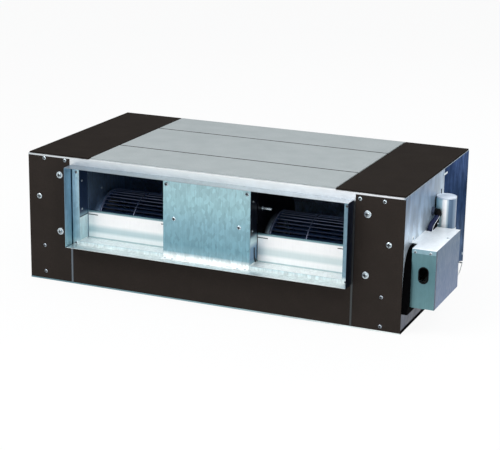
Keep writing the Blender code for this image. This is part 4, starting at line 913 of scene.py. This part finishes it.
# the motor lead: a sleeved lead that is held all along its way, so it isn't a free cord, with a
# boot (bootRise is its wall at bootAt of its length), an elbow, a second sleeve and a loose wire's end
lead = dict(radius=0.0075, bootFrom=0.6560, bootSpan=22, bootRise=(0.0008, 0.0030, 0.0022, 0.0014, 0.0004),
            bootAt=(0, 0.1, 0.75, 0.97, 1), elbow=0.0132, elbowShape=(1.0, 1.12, 0.82),
            elbowAt=(0.6715, -0.0662, 0.3170), second=0.0062, wire=0.0009, bead=0.0022,
            beadAt=(0.6768, -0.0830, 0.2885))
leadRoute = [(0.0, -0.08577, 0.1688), (0.010, -0.05077, 0.2188), (0.050, 0.0267, 0.3088),
             (0.166, 0.0469, 0.3828), (0.3052, 0.0469, 0.3903), (0.4294, 0.0469, 0.3828),
             (0.550, 0.004, 0.355), (0.620, -0.054, 0.323), (0.642, -0.058, 0.320), (0.660, -0.058, 0.320),
             (0.6685, -0.062, 0.318), (0.6710, -0.071, 0.311), (0.6665, -0.087, 0.2995),
             (0.6605, -0.102, 0.2885), (0.660, -0.115, 0.276), (0.660, -0.116, 0.252),
             (0.6645, -0.116, 0.235), (0.6712, -0.116, 0.232), (0.685, -0.116, 0.232)]
leadPath = smoothPath(leadRoute, 10)
addPiece("motorLeadSleeve", *sweepTube(leadPath, lead["radius"], 24), sleeveNavy, slot="black_rubber",
         stands=("motor_lead",), rough=60)
outside = np.flatnonzero(leadPath[:, 0] > lead["bootFrom"])[0]
bootPath = leadPath[outside:outside + lead["bootSpan"]]
bootSizes = lead["radius"] + np.interp(np.linspace(0, 1, len(bootPath)), lead["bootAt"], lead["bootRise"])
addPiece("motorLeadBoot", *sweepTube(bootPath, bootSizes, 24), rubberBlack, slot="black_rubber", rough=60)
elbow, elbowFaces = ball(lead["elbow"], 17, 28)
addPiece("leadElbow", *repeated(elbow * lead["elbowShape"], elbowFaces, [lead["elbowAt"]], "+x"), rubberBlack,
         slot="black_rubber", rough=60)
secondRoute = [(0.6720, -0.068, 0.3120), (0.6720, -0.0756, 0.3021), (0.6700, -0.0745, 0.2920),
               (0.6665, -0.0690, 0.2830), (0.6628, -0.0660, 0.2730), (0.6620, -0.0680, 0.2620),
               (0.6620, -0.0780, 0.2500), (0.6640, -0.0920, 0.2430), (0.6712, -0.1020, 0.2400)]
addPiece("secondSleeve", *sweepTube(smoothPath(secondRoute, 8), lead["second"], 20), rubberBlack,
         slot="black_rubber", rough=60)
wireRoute = [(0.6790, -0.0710, 0.3130), (0.6748, -0.0850, 0.3000), (0.6702, -0.0990, 0.2890),
             (0.6690, -0.1120, 0.2770), (0.6688, -0.1180, 0.2660)]
addPiece("leadWire", *sweepTube(smoothPath(wireRoute, 8), lead["wire"], 10), wireGrey, slot="white_plastic",
         rough=60)
addPiece("wireBead", *repeated(*ball(lead["bead"], 9, 12), [lead["beadAt"]], "+z"), wireGrey,
         slot="white_plastic", rough=60)
print("capacitor, grommets and lead made")


# screws and rivets, placed where the photo shows them and on the sheet that carries them
foamSink, rearSink = 0.0004, 0.0002  # how far these heads press into the foam and the rear frame
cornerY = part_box("right_corner_foam")[0].y + foamSink
coverLow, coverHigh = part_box("centre_cover")
lidLow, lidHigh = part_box("box_lid")
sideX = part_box("right_front_panel")[1].x
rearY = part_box("return_frame")[1].y - rearSink
sheet = 0.0012  # the sheets under these heads are this thick
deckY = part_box("discharge_collar")[1].y - sheet
coverY = coverHigh.y - sheet
footBack = 0.0105  # from the cover's face back to the rivets in its feet
bothSides = (-1, 1)
wallRivets = [(0.4594, -0.3310, 0.3533), (0.4594, -0.3314, 0.2576), (-0.1510, -0.3293, 0.3555),
              (-0.1510, -0.3329, 0.2611), (0.4569, -0.2008, 0.2983)]
rivet = dict(radius=0.0036, height=0.0018, recess=False)

fasteners = {
    "sideFixingScrews": dict(facing="-y", radius=0.0090, height=0.0042, places=[
        (0.6038, cornerY, 0.2800), (-0.6107, cornerY, 0.2879)]),
    "cornerScrews": dict(facing="-y", radius=0.0060, height=0.0034, places=[
        (x, cornerY, z) for x, z in ((0.5855, 0.4130), (0.5077, 0.4134), (-0.5895, 0.4190),
                                     (-0.5124, 0.4190))]),
    "lowerCornerScrews": dict(facing="-y", radius=0.0058, height=0.0032, material=screwDull, places=[
        (x, cornerY, z) for x, z in ((0.5862, 0.1120), (0.5863, 0.0180), (-0.5940, 0.1186),
                                     (-0.5920, 0.0285))]),
    "coverScrews": dict(facing="-y", radius=0.0068, height=0.0036, places=[
        (s * x, coverY, z) for s in bothSides for x, z in ((0.140, 0.3835), (0.1135, 0.272))]),
    "footRivets": dict(facing="+z", **rivet, places=[
        (s * x, coverY - footBack, coverLow.z + sheet) for s in bothSides for x in (0.1400, 0.1136)]),
    "flangeScrews": dict(facing="-y", radius=0.0052, height=0.0028, places=[
        (s * x, deckY, z) for s in bothSides for x, z in ((0.4688, 0.3848), (0.4715, 0.1450))]),
    "leftWallRivets": dict(facing="+x", **rivet, places=[(-x, y, z) for x, y, z in wallRivets]),
    "rightWallRivets": dict(facing="-x", **rivet, places=wallRivets),
    "lidScrews": dict(facing="-y", radius=0.0042, height=0.0022, places=[
        (0.680, lidLow.y, 0.2630), (0.7277, lidLow.y, 0.2634)]),
    "lidTopScrew": dict(facing="+z", radius=0.0042, height=0.0022, places=[(0.7374, -0.177, lidHigh.z)]),
    "sideScrews": dict(facing="+x", radius=0.0046, height=0.0026, places=[
        (sideX, 0.0496, 0.0200), (sideX, 0.3350, 0.0700)]),
    "leftSideScrews": dict(facing="-x", radius=0.0046, height=0.0026, places=[
        (-sideX, y, z) for y in (-0.329, 0.0496, 0.0760, 0.3350) for z in (0.4191, 0.0700)]),
    "strapScrews": dict(facing="+x", radius=0.0034, height=0.0022, places=[
        (clampLow.x + strap["wall"], canAt[1] + s * strap["screws"], (clampLow.z + clampHigh.z) / 2)
        for s in bothSides]),
    "bracketScrew": dict(facing="+x", radius=0.0042, height=0.0024, places=[
        (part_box("box_bracket")[0].x + sheet, -0.2622, 0.2835)]),
    "rearScrews": dict(facing="+y", radius=0.0046, height=0.0026, places=[
        (x, rearY, z) for x in np.linspace(-0.62, 0.62, 7) for z in (0.4215, 0.0435)]
        + [(s * 0.6250, rearY, 0.235) for s in bothSides]),
}
for name, group in fasteners.items():
    fixings(name, **{"material": steelBright, "recess": True, **group})
print("screws and rivets placed:", sum(len(group["places"]) for group in fasteners.values()))


# small fittings that only the scene has: scroll bolts, a strap, and near-black pieces of painted shade and
# dark lines
boltAt = (0.1532, -0.2582, 0.3176)
boltProfile = [(0, 0), (0.0070, 0), (0.0070, 0.0012), (0.0042, 0.0014), (0.0042, 0.0300), (0.0036, 0.0312),
               (0, 0.0318)]
for side, word, facing in ((1, "right", "+x"), (-1, "left", "-x")):
    addPiece(word + "ScrollBolt", *turnedAt((side * boltAt[0], *boltAt[1:]), facing, boltProfile, 20),
             steelBright, slot="bright_steel")

thin = dict(edge=0.0004, uneven=0.0001)  # thin strips: small edges, nearly even
# dark foam strips in the gaps between the top pads: painted shade in the seams
for name, frontY, backY in (("frontSeamStrip", -0.1348, -0.1288), ("rearSeamStrip", 0.1572, 0.1632)):
    foamSheet(name, (-0.4235, frontY, 0.4312), (0.4235, backY, 0.4352), "+z", foamTopPaintedDarker, "black_foam", **thin)
# painted shade: a near-black block in the gap between the side panel and the electrical box
gapShadeOutline = [(-0.2712, 0.2685), (-0.2860, 0.2680), (-0.3030, 0.2600), (-0.3180, 0.2470),
                 (-0.3300, 0.2280), (-0.3380, 0.2030), (-0.3425, 0.1700), (-0.3445, 0.1300),
                 (-0.3455, 0.0660), (-0.2712, 0.0660)]  # (y, z)
gapShadeX, seamX = (0.6503, 0.6695), (0.1512, 0.1530)
addPiece("boxGapShade", *prism(gapShadeOutline, *gapShadeX), nearBlackFill, slot="black_foam")
# a near-black strip along the foot of the right side panel
foamSheet("edgeTape", (0.6501, -0.3440, 0.0016), (0.6511, 0.0610, 0.0115), "+x", nearBlackFill, "black_foam",
          **thin)
# painted shade: a near-black strip on the panel in the gap behind the can
foamSheet("capacitorPad", (0.6502, -0.0350, 0.3150), (0.6515, 0.0060, 0.3600), "+x", nearBlackFill, "black_foam",
          **thin)

# dark plates on the cut-off plates, as painted shade where slots go through them: (middle along x, half their
# length), the same left and right
slots = dict(z=0.2306, tall=0.0026, proud=0.0006, corner=0.0009, spans=((0.4390, 0.0175), (0.1710, 0.0170)))
slotY, slotHalf = scroll["outletY"], slots["tall"] / 2
slotShades = joined(*[plateBlock((s * x - half, slotY - slots["proud"], slots["z"] - slotHalf),
                            (s * x + half, slotY, slots["z"] + slotHalf), "-y", slots["corner"])
                 for s in bothSides for x, half in slots["spans"]])
addPiece("cutoffSlotShade", *slotShades, slotShadow, slot="wheel_steel")
# painted shade: a thin near-black piece along a seam on the right neck's wall
seam = prism([(-0.3190, 0.2030), (-0.3165, 0.2030), (-0.3120, 0.1650), (-0.3000, 0.1525), (-0.3100, 0.1525),
              (-0.3155, 0.1650)], *seamX)
addPiece("neckSeam", *seam, slotShadow, slot="wheel_steel")
# a thin near-black line on the side panel, above the can
foamSheet("panelStud", (0.6502, 0.0302, 0.3560), (0.6520, 0.0328, 0.3708), "+x", slotShadow, "wheel_steel",
          **thin)
addPiece("panelStrap", *plateBlock((sideX, 0.0500, 0.4095), (sideX + 0.0014, 0.0900, 0.4160), "+x", 0.0020),
         zincBright, slot="bright_steel")

# the large washer screws: a pan head sunk by sink into a flange, on a chamfered washer; levels are
# the washer's heights below the head's top
washer = dict(head=0.0072, dome=0.0052, sink=0.0056, wider=0.0020, shank=0.0024, flange=0.0076,
              chamfer=0.0006, levels=(0.0086, 0.0084, 0.0078, 0.0072))
for word, level in (("right", "Upper"), ("right", "Lower"), ("left", "Upper"), ("left", "Lower")):
    name, node = word + level, f"{word}_{level.lower()}_screw"
    low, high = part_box(node)
    wide, tall = (high.x - low.x) / 2 + washer["wider"], high.y - low.y
    screwAt = ((low.x + high.x) / 2, high.y, (low.z + high.z) / 2)
    across = (washer["shank"], wide - washer["chamfer"], wide, wide - washer["chamfer"])
    stem = revolve([(0, 0), (washer["shank"], 0),
                    *((x, tall - down) for x, down in zip(across, washer["levels"])),
                    (washer["flange"], tall - washer["sink"]), (0, tall - washer["sink"])], 40)
    seat = (0, 0, tall - washer["sink"])
    head, headFaces = panHead(washer["head"], washer["dome"])
    bottom, bottomFaces = recessShadePlug(washer["head"], washer["dome"])
    # painted shade in the head's recess
    addPiece(name + "WasherRecess", *repeated(bottom + seat, bottomFaces, [screwAt], "-y"), slotShadow,
             slot="wheel_steel")
    addPiece(name + "WasherScrew", *repeated(*joined((head + seat, headFaces), stem), [screwAt], "-y"),
             steelBright, slot="bright_steel", stands=(node,), rough=40)
print("small fittings made")


# white paper floor: the camera and mirrors see mostly plain white, and the rest keeps the shadow
floorLook = dict(size=60.0, white="#ffffff", paper="#f4f4f4", whiteShare=0.92)
corners = np.array([(-1, -1, 0), (1, -1, 0), (1, 1, 0), (-1, 1, 0)], float) * floorLook["size"] / 2
floorMesh = bpy.data.meshes.new("floor")
floorMesh.from_pydata(corners.tolist(), [], [(0, 1, 2, 3)])
floor = bpy.data.objects.new("floor", floorMesh)
bpy.context.scene.collection.objects.link(floor)

floorMaterial = bpy.data.materials.new("paperFloor")
floorMaterial.use_nodes = True
tree = floorMaterial.node_tree
tree.nodes.clear()
rays = addNode(tree, "LightPath", out=None).outputs
seen = addNode(tree, "Math", [rays["Is Camera Ray"], rays["Is Glossy Ray"]], operation="MAXIMUM")
seen = addNode(tree, "Math", [seen, rays["Is Transmission Ray"]], operation="MAXIMUM")
share = addNode(tree, "Math", [seen, floorLook["whiteShare"]], operation="MULTIPLY")
paper = addNode(tree, "BsdfDiffuse", {"Color": floorLook["paper"]})
white = addNode(tree, "Emission", {"Color": floorLook["white"], "Strength": 1.0})
mixed = addNode(tree, "MixShader", [share, paper, white])
addNode(tree, "OutputMaterial", [mixed], out=None)
floorMesh.materials.append(floorMaterial)

# the room: plain white to the camera, through glass and in mirrors, and a dimmer light on the object
roomLook = dict(light="#eef3f8", strength=0.55, white="#ffffff")
world = bpy.data.worlds.new("softRoom")
bpy.context.scene.world = world
world.use_nodes = True
tree = world.node_tree
tree.nodes.clear()
rays = addNode(tree, "LightPath", out=None).outputs
seen = addNode(tree, "Math", [rays["Is Camera Ray"], rays["Is Transmission Ray"]], operation="MAXIMUM")
dim = addNode(tree, "Background", {"Color": roomLook["light"], "Strength": roomLook["strength"]})
bright = addNode(tree, "Background", {"Color": roomLook["white"], "Strength": 1.0})
mirrored = addNode(tree, "MixShader", [rays["Is Glossy Ray"], dim, bright])
addNode(tree, "OutputWorld", [addNode(tree, "MixShader", [seen, mirrored, bright])], out=None)

lampAim = Vector((0.0, 0.0, 0.2))
lamps = {
    "keySoftbox": dict(place=(-1.2, -2.4, 3.6), power=90, size=2.4),
    "fillSoftbox": dict(place=(3.2, -3.0, 1.6), power=26, size=2.0),
    "backSoftbox": dict(place=(0.5, 3.0, 3.0), power=32, size=2.0),
    "upperRightSoftbox": dict(place=(2.2, -0.8, 3.0), power=30, size=1.6),
}
for name, lamp in lamps.items():
    light = bpy.data.lights.new(name, "AREA")
    light.energy = lamp["power"]
    light.shape = "SQUARE"
    light.size = lamp["size"]
    softbox = bpy.data.objects.new(name, light)
    softbox.location = lamp["place"]
    softbox.rotation_euler = (lampAim - softbox.location).to_track_quat("-Z", "Y").to_euler()
    bpy.context.scene.collection.objects.link(softbox)

# the camera stands azimuth degrees round to the right of the front, and looks back at its target
view = dict(azimuth=24.226, elevation=16.203, roll=0.599, distance=5.1374, target=(-0.1102, 0.0, 0.1603),
            lens=108.311, sensor=36.0, shift=0.06)
az, el, roll = (math.radians(view[key]) for key in ("azimuth", "elevation", "roll"))
back = Vector((math.sin(az) * math.cos(el), -math.cos(az) * math.cos(el), math.sin(el)))
across = Vector((math.cos(az), math.sin(az), 0.0))
upward = back.cross(across)
right = math.cos(roll) * across + math.sin(roll) * upward
top = -math.sin(roll) * across + math.cos(roll) * upward
lens = bpy.data.cameras.new("camera")
lens.lens = view["lens"]
lens.sensor_width = view["sensor"]
lens.sensor_fit = "HORIZONTAL"
lens.shift_x = view["shift"]  # the photo shows the object right of its lens axis
camera = bpy.data.objects.new("camera", lens)
camera.matrix_world = Matrix.Translation(Vector(view["target"]) + back * view["distance"]) @ Matrix(
    (right, top, back)).transposed().to_4x4()
bpy.context.scene.collection.objects.link(camera)
bpy.context.scene.camera = camera
bpy.context.scene.view_settings.view_transform = "Standard"
print("stage, lamps and camera set")
